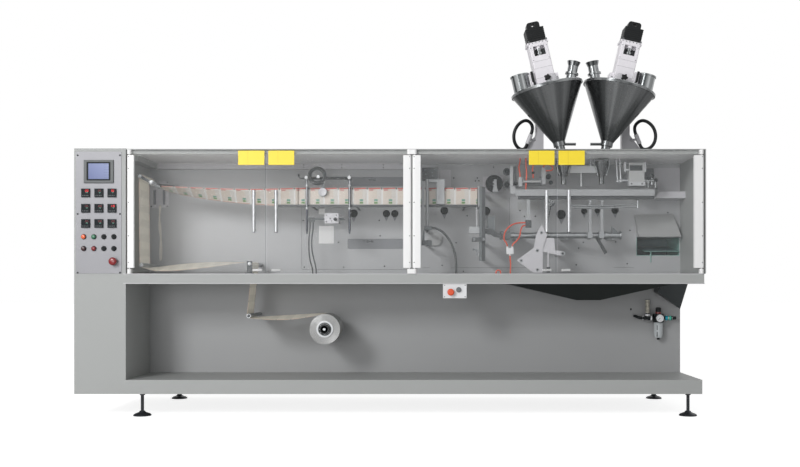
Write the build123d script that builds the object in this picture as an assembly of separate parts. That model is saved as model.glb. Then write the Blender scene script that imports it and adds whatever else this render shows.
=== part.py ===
from build123d import *
import os
from math import asin, atan2, cos, pi, radians, sin, sqrt, tan

# A horizontal pouch packaging machine: a long steel cabinet whose front is open above
# and below the work table, with four clear guard doors, a film reel under the table,
# the forming, printing, sealing, cutting and filling stations behind the doors, and two
# powder fillers with tilted hoppers on the roof.
# X runs along the machine, Y from the front to the back, Z up. The origin is on the
# floor, under the middle of the machine, and Y is 0 at the wall behind the stations.
# All sizes are millimetres.

# Cabinet
column_width = 290
left_bay = 1578
post_width = 50
right_bay = 1602
end_return = 14
end_panel_thickness = 6
cabinet_depth = 990
compartment_depth = 480
floor_clearance = 131
base_height = 79
niche_height = 538
table_thickness = 58
table_overhang = 10
compartment_height = 672
column_rise = 3
wall_thickness = 10
niche_wall_thickness = 3
roof_thickness = 26
roof_sheet = 4
roof_setback = 20
edge_radius = 4
corner_rail = 50
corner_rail_height = 33
wall_rail_depth = 30
rear_cover_thickness = 20
rear_cover_count = 4
rear_cover_gap = 40
rear_cover_margin = 30
rear_cover_corner = 12
rear_latch_radius = 15
rear_latch_height = 7
rear_latch_inset = 60

# Levelling feet
foot_pad_radius = 50
foot_pad_height = 28
foot_pad_edge = 6
foot_stud_radius = 9
foot_nut_width = 27
foot_nut_height = 14
foot_inset = 80
foot_from_left = 360
foot_from_right = 60

# Guard doors
door_sheet = 8
door_foot_gap = 6
door_head_gap = 5
meeting_gap = 6
left_meeting_shift = -17
right_meeting_shift = -8.2
pin_radius = 4
pin_clearance = 0.075
pin_length = 20
pin_setback = 2
strip_radius = 12
block_height = 26
strip_end_gap = 6
sheet_to_pin = 18
first_pin_inset = 20
last_pin_inset = 5
middle_pin_inset = 10
middle_pin_gap = 29.4
strip_reaches = (27, 34, 33.6, 43)
catch_length = 50
catch_height = 12
catch_depth = 10
catch_inset = 28
catch_rise = 8
handle_radius = 10
handle_projection = 55
handle_rise = 228
handle_length = 236
handle_offset = 62
handle_post_radius = 6
handle_post_inset = 16
handle_end_radius = 2

# Control panel, measured from the column's left edge and above the table
panel_left_inset = 11
panel_right_inset = 23
panel_height = 682
panel_thickness = 3
display_x = (58, 224)
display_z = (506, 635)
display_height = 8
display_chamfer = 2
screen_margins = (16, 14, 11)
screen_depth = 2
controller_size = 48
controller_height = 8
controller_columns = (68, 142, 215)
controller_rows = (451, 365, 280)
controller_window = (5, 2, 6)
controller_window_depth = 1.5
button_radius = 15
button_collar = 6
button_cap_radius = 11
button_cap = 9
button_rows = (206, 140)
button_columns = (56, 113, 169, 225)
stop_place = (225, 68)
stop_radius = 22.5
stop_stem_radius = 14
stop_stem = 16
stop_cap = 20

# Film, its rollers and the reel; heights of rollers are above the table
film_width = 216
film_middle = -250
film_thickness = 1
film_gap = 0.1
film_rise = 504
film_end = 403
fold_start = 145
fold_length = 795
fold_steps = 4
fold_first_angle = 6
fold_last_angle = 87.5
pouch_thickness = 4
pouch_margin = 2
pouch_gap = 0.3
tail_x = (50, 80)
tail_z = (84, 419)
tail_gap = 0.3
roller_radius = 12
roller_overhang = 10
table_roller_place = (-904, 57)
turn_roller_place = (54, 50)
top_roller_place = (49, 556)
former_roller_place = (111, 522)
lower_roller_drop = 183
lower_roller_x = -910
reel_x_place = -476
reel_drop = 259
reel_radius = 87
reel_core_radius = 38
reel_fit = 0.2
reel_ring_radius = 47.5
reel_ring_width = 8
reel_nut_radius = 30
reel_nut_length = 24
reel_nut_lobes = 8
reel_flange_radius = 62
reel_flange_width = 5
reel_side_gap = 0.5
reel_gap = 0.5
shaft_radius = 12.5
shaft_clearance = 0.05
shaft_end_gap = 2
shaft_collar_radius = 35
shaft_collar = 12
slot_x = (-938, -873)
slot_side_gap = 12
roller_foot_width = 48
roller_bracket_width = 30
roller_bracket_depth = 10
roller_foot_height = 5

# Stations behind the doors. X is measured from the left side of the middle post, Y from
# the middle of the film and Z from the top of the table, unless a comment says otherwise.
wall_slots = (((-360, -36), (536, 594)), ((-374, -36), (155, 217)))
wall_slot_depth = 5
wall_slot_holes = (120, 136, 152)
wall_slot_hole_radius = 4
wall_ovals = ((-337, 372, 25), (-138, 371, 22.5), (-87, 371, 22.5), (215, 389, 24), (469, 386, 26),
              (928, 366, 29), (1068, 386, 20), (1149, 390, 19), (1256, 392, 23))
wall_oval_drop = 2.2
wall_pocket_depth = 80

former_arm_height = 8
former_arm_depth = 10
former_arm_ends = (16, 60)
former_nose = (17, 34, 129)
former_nose_rise = 7.5
former_nose_thickness = 3

guide_rail_start = -760
guide_rail_web = 4
guide_rail_lip = 3
guide_rail_half = 12
guide_rail_height = 14
guide_rail_arms = (-560, -300, 60, 330)
guide_rail_arm_radius = 5
clamp_rods = (-589, -341)
clamp_rod_radius = 7
clamp_rod_tip_radius = 4
clamp_rod_y = -22
clamp_rod_z = (233, 256, 574)
clamp_bar = ((-601, -329), (-12, 2), (551, 565))
clamp_knobs = ((558, 10, -52), (513, 7, -36), (381, 7, -36))
clamp_stubs = (-575, -356)
clamp_stub_radius = 6

sensor_strap = ((-503, -491), (-12, -6), (478, 551))
sensor_disc = (-497, 476, 26)
sensor_disc_thickness = 12
sensor_lens_radius = 11
sensor_lens_height = 5
coder_body = ((-481, -400), (-80, -12), (291, 349))
coder_shaft = ((-568, -363), -40, 319)
coder_shaft_radius = 6
coder_plug = ((-577, -541), (-50, -30), (300, 327))
coder_knob = (-418, 314, 10, 14)
coder_arm_radius = 8
coil_place = (-520, 565)
coil_radius = 45
coil_section = 13
coil_gap = 0.3

sealer_head_x = (81, 174)
sealer_head_z = (550, 615)
sealer_head_y = (12, 50)
sealer_bridge = ((81, 174), (-12, 12), (585, 615))
sealer_jaw_x = (165, 211)
sealer_jaw_y = (4, 25)
sealer_jaw_z = (405, 534)
sealer_bar_x = (100, 179)
sealer_bar_y = (20, 34)
sealer_post = (110, -40, 10)
sealer_rail = ((77, 95), (-80, -62), (164, 534))
sealer_feet = (((77, 137), (-80, -30), (254, 276)), ((77, 137), (-80, -30), (164, 194)))
sealer_arm_radius = 10
sealer_arm_x = 107

knife_light_bar = ((411, 427), (-70, -40), (75, 503))
knife_dark_bar = ((427, 446), (-60, -30), (75, 503))
knife_blade = ((405, 411), (-50, 40), (392, 510))
knife_chain = ((393, 401), (-62, -54), (230, 384))
knife_chain_tab = ((401, 411), (-62, -54), (372, 384))
knife_clamps = (((353, 411), (-75, -35), (234, 271)), ((369, 446), (-75, -30), (187, 210)),
                ((388, 411), (-62, -44), (118, 145)))
knife_arm_heights = (490, 200, 100)
knife_arm_radius = 11
knife_lever = ((446, 232), (470, 236), (500, 214), (545, 208), (548, 232), (512, 240), (480, 262), (446, 262))
knife_lever_y = (-42, -30)
knife_plate = ((460, 505), (-30, -18), (229, 336))
knife_plate_arm = (482, 290)

handwheel_place = (511, 541)
handwheel_radius = 52
handwheel_width = 16
handwheel_from_wall = 104
handwheel_hub_radius = 14
handwheel_hub = 8
handwheel_shaft_radius = 9
crank = ((507, 565), (525, 565), (523, 540), (530, 490), (517, 486), (512, 535))
crank_thickness = 6
crank_knob = (523, 494, 6, 26)

opener_discs = ((575, 596, 22), (575, 519, 22), (621, 526, 12))
opener_disc_y = (-12, 6)
opener_bars = (((590, 609), (-30, -12), (508, 625)), ((611, 629), (-25, -12), (528, 625)),
               ((640, 662), (-34, -8), (508, 562)), ((662, 775), (-26, -12), (542, 556)),
               ((662, 775), (-26, -12), (514, 528)), ((775, 797), (-34, -12), (520, 617)))
opener_link = ((575, 650), (-12, -8), (520, 534))
opener_eye = (817, 566, 16)
opener_eye_link = ((790, 817), (-12, 0), (562, 570))
opener_arms = ((600, 560), (652, 534), (786, 570))
opener_arm_radius = 8

rail_start = 620
rail_y = (-50, -20)
rail_z = (452, 489)
rail_lip_y = (-40, -14)
rail_lip_z = (434, 452)
rail_lip_inset = 20
rail_block = ((591, 620), (-52, -12), (464, 505))
rail_arms = (700, 1000, 1350)
rail_arm_radius = 12
rail_shelf_gap = 40
rail_strut = ((688, 707), (-30, -16), (312, 436))
rail_clamp = ((681, 715), (-40, -10), (269, 312))

gripper_shaft_x = (598, 1244)
gripper_shaft_y = 50
gripper_shaft_z = 227
gripper_shaft_radius = 17.5
gripper_collars = (762, 807, 1062, 1128, 1162)
gripper_collar_radius = 24
gripper_collar_width = 16
gripper_cap_radius = 25
gripper_cap_width = 8
gripper_bearings = (640, 930, 1210)
gripper_bearing_half = 12
gripper_bearing_z = (205, 249)
gripper_coupling = ((540, 598), (25, 75), (203, 251))
gripper_arms = (1059, 1128)
gripper_arm_half = 8
gripper_arm_y = (-10, 8)
gripper_arm_z = (240, 433)
gripper_boss_half = 14
gripper_finger = (425, 8, 22)
gripper_links = (((946, 398), (1142, 397), (1340, 410)), ((965, 385), (1142, 384), (1330, 392)))
gripper_link_radius = 5
gripper_link_y = -14
gripper_end_knob = (1336, 384, 432)
gripper_lever = ((1096, 222), (1114, 222), (1170, 126), (1156, 118))
gripper_bracket = ((1196, 240), (1241, 240), (1196, 279))
gripper_plate_y = (40, 60)

cam_plate = ((628, 78), (728, 152), (740, 226), (772, 285), (805, 226), (779, 149), (779, 7), (725, 7))
cam_plate_y = (-50, -42)
cam_holes = ((655, 77), (748, 135), (748, 24))
cam_hole_radius = 5
cam_lever = ((775, 208), (846, 208), (852, 137), (895, 133), (895, 103), (775, 131))
cam_lever_y = (-42, -34)
cam_lever_eye = (895, 118, 15)
cam_lever_rod = (812, 5)
cam_lever_foot = ((802, 822), (-46, -30), (8, 40))
cam_arms = ((700, 100), (895, 118))
cam_arm_radius = 9
cam_disc = (159, 216, 42, 18)
chain_wheel = (831, 411, 20)
chain_end = (797, 240)
chain_width = 8
chain_y = (-30, -22)

funnel_places = (906, 1127)
funnel_radius = 45
funnel_spout_radius = 15
funnel_wall = 3
funnel_z = (523, 564, 648, 656)
funnel_bracket = ((930, 1103), (-15, 15), (588, 628))
funnel_hangers = (975, 1063)
funnel_hanger_radius = 6
funnel_rod = (1009, 511)
funnel_strap = ((-50, 640), (-38, 640), (-16, 575), (-28, 570))
funnel_strap_half = 8

valve_box = ((1281, 1369), (-40, 50), (511, 644))
valve_box_plate = ((1277, 1373), (-44, -40), (511, 534))
valve_box_bar = ((1253, 1382), (-30, -18), (600, 610))
valve_box_arms = (((1253, 1265), (-30, -18), (593, 649)), ((1371, 1382), (-30, -18), (593, 649)))
valve_box_stub = ((1300, 1350), (560, 600))
valve_pipe = (545, 8, 1449)
valve_taps = ((1400, 505, 556), (1422, 520, 570), (1442, 500, 545))
valve_tap_radius = 7
valve_links = (((1213, 672), (1222, 540)), ((1234, 672), (1240, 540)))
valve_link_radius = 5
valve_link_knob = 10

# Plates on the wall: X from the post, Z above the table, thickness
wall_plates = (((-549, -458), (188, 295), 3), ((-550, -513), (366, 399), 3), ((124, 258), (8, 168), 3),
               ((191, 255), (534, 637), 6), ((449, 573), (501, 596), 6), ((492, 597), (410, 462), 4))
# The same, with X measured back from the cabinet's right end
end_plates = (((-230, -163), (572, 646), 4), ((-160, -138), (532, 646), 6), ((-136, -2), (507, 649), 3))
funnel_disc = (1089, 560, 27, 8)
adjuster_x = (2, 116)
adjuster_z = (406, 568)
adjuster_thickness = 8
adjuster_slots = ((25, 34), (82, 91))
adjuster_slot_z = (425, 516)
adjuster_slot_width = 18
vent_x = (662, 796)
vent_z = (393, 440)
vent_ribs = 4
vent_thickness = 4

# Shelf and discharge, with X measured back from the cabinet's right end
shelf_x = (-185, 0)
shelf_depth = 120
shelf_z = (455, 494)
shelf_sheet = 3
shelf_slope = 30
chute_x = (-267, -5)
chute_z = (114, 226)
chute_pocket = 300
chute_sheet = 3
hood_foot_x = (-265, -12)
hood_head_x = (-280, -45)
hood_depth = 80
hood_head_depth = 8
hood_head_z = 364
tray_x = (-220, -12)
tray_front = (-18, 139)
tray_back = (284, 180)
chute_latch = (-179, 74, 136)
chute_latch_radius = 3

# Under the table: depths below it, X from the post or back from the right end
sump_top_x = (572, 1500)
sump_bottom_x = (967, 1102)
sump_y = (-440, -190)
sump_bottom_y = (-350, -280)
sump_depth = 93
gusset_reach = 174
gusset_depth = 153
gusset_length = 160
gusset_short_depth = 48
switch_box_x = (199, 331)
switch_box_height = 80
switch_box_depth = 70
switch_box_setback = 5
switch_button = (242, 46, 19.5)
switch_button_stem = 14
switch_button_cap = 16
selector = (287, 33, 12)
selector_height = 12
air_unit = (-144, 206)
air_unit_y = -45
air_body_half = 27
air_body_height = 26
air_gauge_radius = 25
air_gauge_depth = 18
air_bowl = ((0, -26), (24, -26), (28, -34), (26, -42), (26, -104), (22, -118), (7, -118), (7, -130), (0, -130))
air_knob = ((0, 26), (17, 26), (17, 36), (15.5, 36), (15.5, 62), (13, 64), (0, 64))
air_right = ((0, 27), (8, 27), (8, 43), (13, 43), (13, 55), (7, 58), (7, 64), (13, 67), (13, 80),
             (8, 81), (8, 98), (0, 98))
air_left = ((0, 27), (10, 27), (14, 34), (14, 60), (10, 66), (10, 98), (0, 98))
air_silencer = (-65, 12, 111)
air_left_knob = (-90, 9, 24)

# Powder fillers on the roof, measured in the tilted place of each hopper's rim
filler_from_post = 1020
filler_rim_reach = 212
filler_rim_rise = 382
filler_tilt = 13
hopper_radius = 204
hopper_rim_radius = 211
hopper_rim_thickness = 12
hopper_wall = 4
hopper_outlet_radius = 27
hopper_cone_height = 335
hopper_neck = 70
neck_clamp_radius = 36
neck_clamp_height = 26
neck_clamp_drop = 318
neck_nozzle_radius = 8
neck_nozzle_length = 95
lid_thickness = 6
inlet_x = -138
inlet_radius = 52
inlet_height = 112
inlet_wall = 3
inlet_rim = 4
inlet_rim_height = 8
valve_tube_x = 140
valve_tube_lean = 23
valve_tube_radius = 30
valve_tube_height = 128
valve_tube_flare = 9
valve_tube_flare_height = 26
valve_ring_height = 52
valve_ring_radius = 39
valve_ring_width = 10
drive_plate_thickness = 8
drive_plate_width = 150
drive_plate_ear = 150
gearbox_width = 110
gearbox_depth = 110
gearbox_height = 258
gearbox_flange = 12
gearbox_flange_width = 124
gearbox_window = (66, 56, 176)
gearbox_window_depth = 40
gearbox_ear = (62, 78, 60)
gearbox_edge = 6
coupling_radius = 13
motor_width = 106
motor_height = 80
motor_flange = 10
motor_flange_width = 116
motor_cap = (76, 60, 40)
motor_eye = (26, 9)
bracket_x = (-88, -60)
bracket_z = (18, 90)
filler_post_reach = {-1: 228, 1: 294}
filler_post_width = 48
filler_post_front = -34
filler_post_top = 520
post_gusset = ((0, 0), (-69, 0), (-69, 56), (0, 146))
post_gusset_thickness = 6
roof_collar_radius = 58
roof_collar_height = 22
roof_hole_margin = 6
ring_connector = ((-54, 88), (-32, 144))
ring_connector_radius = 13
ring_connector_y = -60
ring_connector_pin = 7

# Hoses and cables: points from the post, the film's middle and the table
sealer_hose = ((137, -55, 265), (162, -55, 265), (200, -55, 244), (230, -54, 210), (256, -52, 165),
               (273, -50, 112), (278, -48, 54), (278, -48, 0))
sealer_hose_radius = 6.5
coder_cables = (((-568, -40, 300), (-568, -40, 262), (-576, -38, 205), (-576, -36, 120), (-566, -34, 62),
                 (-554, -32, 30), (-554, -32, 0)),
                ((-550, -40, 300), (-550, -40, 262), (-560, -43, 200), (-557, -46, 130), (-541, -46, 68),
                 (-532, -46, 30), (-532, -46, 0)))
coder_cable_radius = 4
sensor_cable = ((-668, 250, 605), (-668, 215, 605), (-664, 160, 596), (-654, 105, 580), (-642, 52, 566),
                (-628, -5, 558), (-601, -5, 558))
sensor_cable_radius = 3.5
air_hose_radius = 4
air_loop = ((681, -25, 298), (655, -25, 298), (615, -40, 292), (578, -52, 270), (556, -58, 236),
            (552, -58, 196), (574, -54, 174), (574, -54, 150))
air_branch = ((681, -25, 282), (664, -25, 282), (652, -40, 252), (646, -50, 214), (622, -54, 184),
              (602, -54, 172), (602, -54, 150))
air_drop = ((589, -54, 114), (589, -54, 92), (594, -54, 56), (591, -54, 22), (591, -54, 0))
air_tee = ((568, 610), (-64, -44), (114, 150))
air_stub = ((508, -60, 0), (508, -60, 15), (534, -62, 15), (534, -62, 0))
air_supply = (((683, -35, 672), (683, -35, 630), (688, -38, 580), (683, -35, 530), (683, -35, 489)),
              ((651, -21, 672), (651, -21, 650), (641, -24, 618), (651, -21, 586), (651, -21, 562)),
              ((731, -19, 672), (731, -19, 644), (721, -22, 612), (727, -19, 580), (727, -19, 556)))
air_curl = ((786, -23, 617), (786, -23, 634), (814, -26, 638), (840, -28, 624), (840, -26, 604),
            (822, -23, 600), (797, -23, 600))
ring_hose = ((32, 144), (21, 172), (26, 204), (54, 226), (88, 219), (122, 188), (140, 144), (138, 98),
             (118, 64), (90, 51), (65, 60), (54, 88))
ring_hose_front = (0, 0, 12, 30, 42, 50, 50, 44, 32, 16, 0, 0)
ring_hose_radius = 10

# Lengths that follow from the driving sizes
overall_length = column_width + left_bay + post_width + right_bay + end_return + end_panel_thickness
left_x = -overall_length / 2
right_x = overall_length / 2
inner_left = left_x + column_width
post_left = inner_left + left_bay
post_right = post_left + post_width
cabinet_right = post_right + right_bay
inner_right = cabinet_right + end_return
front_y = -compartment_depth
back_y = front_y + cabinet_depth
base_top = floor_clearance + base_height
table_underside = base_top + niche_height
table_top = table_underside + table_thickness
ceiling = table_top + compartment_height
roof_top = ceiling + roof_thickness
roof_lid = roof_top - roof_sheet
column_top = roof_top + column_rise
roof_front = front_y + roof_setback
pin_y = front_y + pin_setback
left_pin = inner_left + first_pin_inset
left_middle_pin = post_left + middle_pin_inset
right_middle_pin = left_middle_pin + middle_pin_gap
right_pin = cabinet_right - last_pin_inset
left_meeting = (left_pin + left_middle_pin) / 2 + left_meeting_shift
right_meeting = (right_middle_pin + right_pin) / 2 + right_meeting_shift
block_top = table_top + block_height
strip_bottom = block_top + strip_end_gap
upper_block_bottom = roof_lid - block_height
strip_top = upper_block_bottom - strip_end_gap
sheet_bottom = table_top + door_foot_gap
sheet_top = roof_lid - door_head_gap
sheet_front = pin_y - door_sheet / 2
panel_face = front_y - panel_thickness
film_front = film_middle - film_width / 2
film_back = film_middle + film_width / 2
film_top = table_top + film_rise
film_bottom = film_top - film_width / 2 - pouch_margin
reel_x = post_left + reel_x_place
reel_z = table_underside - reel_drop
lower_roller = (post_left + lower_roller_x, table_underside - lower_roller_drop)
table_roller = (post_left + table_roller_place[0], table_top + table_roller_place[1])
turn_roller = (inner_left + turn_roller_place[0], table_top + turn_roller_place[1])
top_roller = (inner_left + top_roller_place[0], table_top + top_roller_place[1])
former_roller = (inner_left + former_roller_place[0], table_top + former_roller_place[1])
rail_end = right_bay + post_width + shelf_x[0] - rail_shelf_gap
filler_middle = post_left + filler_from_post
filler_rim_height = roof_top + filler_rim_rise
gearbox_bottom = lid_thickness + drive_plate_thickness
gearbox_top = gearbox_bottom + gearbox_height


def block(x, y, z):
    """A box between two limits on each axis."""
    size = Box(x[1] - x[0], y[1] - y[0], z[1] - z[0])
    return Pos((x[0] + x[1]) / 2, (y[0] + y[1]) / 2, (z[0] + z[1]) / 2) * size


def at(x):
    """X of a place measured from the middle post's left side."""
    return post_left + x


def from_end(x):
    """X of a place measured back from the cabinet's right end."""
    return cabinet_right + x


def up(z):
    """Z of a place measured from the top of the work table."""
    return table_top + z


def station(limits):
    """A box of a station: X from the post, Y from the film's middle, Z from the table."""
    x, y, z = limits
    return block((at(x[0]), at(x[1])), (film_middle + y[0], film_middle + y[1]), (up(z[0]), up(z[1])))


def front_plate(points, y):
    """A plate drawn in X and Z that fills the depth between two values of Y."""
    near, far = y
    outline = Plane.XZ.offset(-far) * Polygon(*points, align=None)
    return extrude(outline, amount=far - near, dir=(0, -1, 0))


def station_plate(points, y):
    """A front plate in the measures of the stations."""
    outline = [(at(x), up(z)) for x, z in points]
    return front_plate(outline, (film_middle + y[0], film_middle + y[1]))


def side_plate(points, x):
    """A plate drawn in Y and Z that fills the length between two values of X."""
    near, far = x
    outline = Plane.YZ.offset(near) * Polygon(*points, align=None)
    return extrude(outline, amount=far - near, dir=(1, 0, 0))


def rod(start, end, radius):
    """A round bar from one point to another."""
    run = Vector(*end) - Vector(*start)
    return extrude(Plane(origin=start, z_dir=run) * Circle(radius), amount=run.length)


def pin(x, z, y, radius):
    """A round bar along Y in the measures of the stations."""
    return rod((at(x), film_middle + y[0], up(z)), (at(x), film_middle + y[1], up(z)), radius)


def wall_arm(x, z, y, radius):
    """A round arm from a station back to the wall."""
    return rod((at(x), film_middle + y, up(z)), (at(x), 0, up(z)), radius)


def turned(points, place):
    """A body of revolution: points give radius and height along the Z axis of a place."""
    return place * revolve(Plane.XZ * Polygon(*points, align=None), Axis.Z)


def upright(width, depth, height):
    """A box that stands on the XY plane, centred on its Z axis."""
    return Box(width, depth, height, align=(Align.CENTER, Align.CENTER, Align.MIN))


def column(radius, height):
    """A cylinder that stands on the XY plane."""
    return Cylinder(radius, height, align=(Align.CENTER, Align.CENTER, Align.MIN))


def fuse(pieces):
    """One body from a list of touching pieces."""
    body = pieces[0]
    for piece in pieces[1:]:
        body += piece
    return body


def hose(points, radius):
    """A round tube along straight runs joined by arcs as large as the runs allow."""
    spots = [Vector(*point) for point in points]
    radii = []
    for a, b, c in zip(spots, spots[1:], spots[2:]):
        half_turn = radians((b - a).get_angle(c - b)) / 2
        radii.append(0.45 * min((b - a).length, (c - b).length) / tan(half_turn))
    path = FilletPolyline(*spots, radius=radii)
    print("hose", round(path.length), "mm long, tightest bend", round(min(radii)), "mm")
    return sweep(Plane(origin=path @ 0, z_dir=path % 0) * Circle(radius), path=path)


def station_hose(points, radius):
    """A hose in the measures of the stations."""
    return hose([(at(x), film_middle + y, up(z)) for x, y, z in points], radius)


def save(name, *pieces):
    """Write the solids of one sub-part to its file."""
    solids = [solid for piece in pieces for solid in piece.solids()]
    export_step(Compound(solids), f"parts/{name}.step")


# Cabinet


def make_base():
    body = block((left_x, cabinet_right), (front_y, back_y), (floor_clearance, base_top))
    return fillet(body.edges().filter_by(Axis.Z), edge_radius)


def make_feet():
    """Four domed pads on threaded studs, each with its lock nut against the base."""
    pad = [(0, 0), (foot_pad_radius, 0), (foot_pad_radius, foot_pad_edge),
           (foot_pad_radius - 8, 2 * foot_pad_edge), (20, foot_pad_height - 8), (14, foot_pad_height),
           (foot_stud_radius, foot_pad_height), (foot_stud_radius, floor_clearance), (0, floor_clearance)]
    nut = extrude(RegularPolygon(foot_nut_width / 2, 6, major_radius=False), foot_nut_height)
    feet = []
    for x in (left_x + foot_from_left, cabinet_right - foot_from_right):
        for y in (front_y + foot_inset, back_y - foot_inset):
            feet.append(turned(pad, Pos(x, y, 0)) + Pos(x, y, floor_clearance - foot_nut_height) * nut)
    return feet


def make_column():
    body = block((left_x, inner_left), (front_y, back_y), (base_top, column_top))
    return fillet(body.edges().filter_by(Axis.Z).group_by(Axis.X)[0], edge_radius)


def make_table():
    """The work table, with the slot that lets the film up from the reel."""
    body = block((inner_left, cabinet_right + table_overhang), (front_y, 0), (table_underside, table_top))
    slot = block((at(slot_x[0]), at(slot_x[1])), (film_front - slot_side_gap, film_back + slot_side_gap),
                 (table_underside - 1, table_top + 1))
    return body - slot


def drop_outline(x, z, radius):
    """A round opening that narrows to a point below."""
    point = Polygon((-radius, 0), (radius, 0), (0, -wall_oval_drop * radius), align=None)
    return Plane.XZ * Pos(at(x), up(z)) * (Circle(radius) + point)


def wall_cuts():
    """The slots and drop-shaped openings of the wall, with the pockets behind them."""
    cuts = []
    for x, z in wall_slots:
        cuts.append(block((at(x[0]), at(x[1])), (-1, wall_slot_depth), (up(z[0]), up(z[1]))))
        for hole in wall_slot_holes:
            height = up(z[0] + (z[1] - z[0]) * 0.7)
            cuts.append(rod((at(x[0] + hole), 0, height), (at(x[0] + hole), wall_pocket_depth, height),
                            wall_slot_hole_radius))
    for x, z, radius in wall_ovals:
        cut = extrude(drop_outline(x, z, radius), amount=-wall_pocket_depth)
        cuts.append(cut + extrude(drop_outline(x, z, radius), amount=1))
    return cuts


def make_inner_walls():
    """The wall behind the stations with its openings, and the wall of the space below."""
    wall = block((inner_left, cabinet_right), (0, wall_thickness), (table_top, ceiling))
    for cut in wall_cuts():
        wall -= cut
    wall -= block((from_end(chute_x[0]), from_end(chute_x[1])), (-1, wall_thickness + 1),
                  (up(chute_z[0]), up(chute_z[1])))
    niche = block((inner_left, cabinet_right), (0, niche_wall_thickness), (base_top, table_underside))
    return wall, niche


def make_rear_housing():
    """The drive housing behind the walls, hollowed behind the wall's openings."""
    upper = block((inner_left, cabinet_right), (wall_thickness, back_y), (table_top, ceiling))
    table_back = block((inner_left, cabinet_right), (0, back_y), (table_underside, table_top))
    lower = block((inner_left, cabinet_right), (niche_wall_thickness, back_y), (base_top, table_underside))
    body = upper + table_back + lower
    for cut in wall_cuts():
        body -= cut
    return body - block((from_end(chute_x[0]), from_end(chute_x[1])), (-1, chute_pocket),
                        (up(chute_z[0]), up(chute_z[1])))


def make_rear_covers():
    """Lift-off covers along the back, each with two quarter-turn latches."""
    pitch = (cabinet_right - left_x) / rear_cover_count
    covers = []
    for number in range(rear_cover_count):
        x0 = left_x + number * pitch + rear_cover_gap / 2
        x1 = x0 + pitch - rear_cover_gap
        cover = block((x0, x1), (back_y, back_y + rear_cover_thickness),
                      (base_top + rear_cover_margin, ceiling - rear_cover_margin))
        cover = fillet(cover.edges().filter_by(Axis.Y), rear_cover_corner)
        for x in (x0 + rear_latch_inset, x1 - rear_latch_inset):
            start = (x, back_y + rear_cover_thickness, ceiling - rear_cover_margin - rear_latch_inset)
            end = (start[0], start[1] + rear_latch_height, start[2])
            cover += rod(start, end, rear_latch_radius)
        covers.append(cover)
    return covers


def make_roof():
    """The roof slab with its overhanging top sheet, the rails under it and the neck collars."""
    rail_z = (ceiling - corner_rail_height, ceiling)
    roof = fuse([
        block((inner_left, inner_right), (roof_front, back_y), (ceiling, roof_lid)),
        block((inner_left, right_x), (front_y, back_y), (roof_lid, roof_top)),
        block((inner_left, inner_left + corner_rail), (roof_front + corner_rail, 0), rail_z),
        block((inner_left, post_left), (-wall_rail_depth, 0), rail_z),
    ])
    for side in (-1, 1):
        neck = filler_place(side) * Pos(0, 0, -hopper_cone_height - hopper_neck)
        foot = neck.position
        roof += Pos(foot.X, foot.Y, roof_top) * column(roof_collar_radius, roof_collar_height)
        roof -= neck * Cylinder(hopper_outlet_radius + roof_hole_margin, 4 * hopper_neck)
    return roof


def make_end_panel():
    sheet = block((inner_right, right_x), (front_y, back_y), (table_top, roof_lid))
    inner = block((cabinet_right, inner_right), (roof_front, back_y), (table_top, ceiling))
    return sheet + inner


def make_post():
    return block((post_left, post_right), (roof_front, roof_front + post_width), (table_top, ceiling))


# Guard doors


def pivot_block(pins, z, pin_start):
    """A rounded block round one or two hinge pins, with a tail back to the cabinet."""
    left, right = min(pins), max(pins)
    middle = (left + right) / 2
    width = right - left + 2 * strip_radius
    outline = Pos(middle, (pin_y + roof_front) / 2) * Rectangle(width, roof_front - pin_y)
    for x in pins:
        outline += Pos(x, pin_y) * Circle(strip_radius)
    if len(pins) > 1:
        outline += Pos(middle, pin_y) * Rectangle(right - left, 2 * strip_radius)
    body = extrude(Pos(0, 0, z[0]) * outline, amount=z[1] - z[0])
    for x in pins:
        body += Pos(x, pin_y, pin_start) * column(pin_radius, pin_length + strip_end_gap)
    return body


def make_pivot_blocks():
    groups = ((left_pin,), (left_middle_pin, right_middle_pin), (right_pin,))
    upper_pin = upper_block_bottom - strip_end_gap - pin_length
    lower = [pivot_block(pins, (table_top, block_top), block_top) for pins in groups]
    upper = [pivot_block(pins, (upper_block_bottom, roof_lid), upper_pin) for pins in groups]
    return lower + upper


# Each door: the X of its pin, the side its sheet lies on and the line where it meets its pair
doors = (
    (left_pin, 1, left_meeting),
    (left_middle_pin, -1, left_meeting),
    (right_middle_pin, 1, right_meeting),
    (right_pin, -1, right_meeting),
)


def make_door_trim(pin_x, side, meeting, reach):
    """The hinge strip, rounded about the pin and slit for the sheet, and the door's catch."""
    far = pin_x + side * reach
    flat = Pos((pin_x + far) / 2, pin_y) * Rectangle(reach, 2 * strip_radius)
    outline = Pos(pin_x, pin_y) * Circle(strip_radius) + flat
    strip = extrude(Pos(0, 0, strip_bottom) * outline, amount=strip_top - strip_bottom)
    bore = Cylinder(pin_radius + pin_clearance, 2 * (pin_length + 1))
    for z in (strip_bottom, strip_top):
        strip -= Pos(pin_x, pin_y, z) * bore
    ends = sorted((pin_x + side * sheet_to_pin, far + side))
    strip -= block(ends, (sheet_front, sheet_front + door_sheet), (strip_bottom - 1, strip_top + 1))
    ends = sorted((meeting - side * catch_inset, meeting - side * (catch_inset + catch_length)))
    catch = block(ends, (sheet_front + door_sheet, sheet_front + door_sheet + catch_depth),
                  (sheet_bottom + catch_rise, sheet_bottom + catch_rise + catch_height))
    return strip, catch


def make_guard_sheet(pin_x, side, meeting):
    ends = sorted((pin_x + side * sheet_to_pin, meeting - side * meeting_gap / 2))
    return block(ends, (sheet_front, sheet_front + door_sheet), (sheet_bottom, sheet_top))


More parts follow.
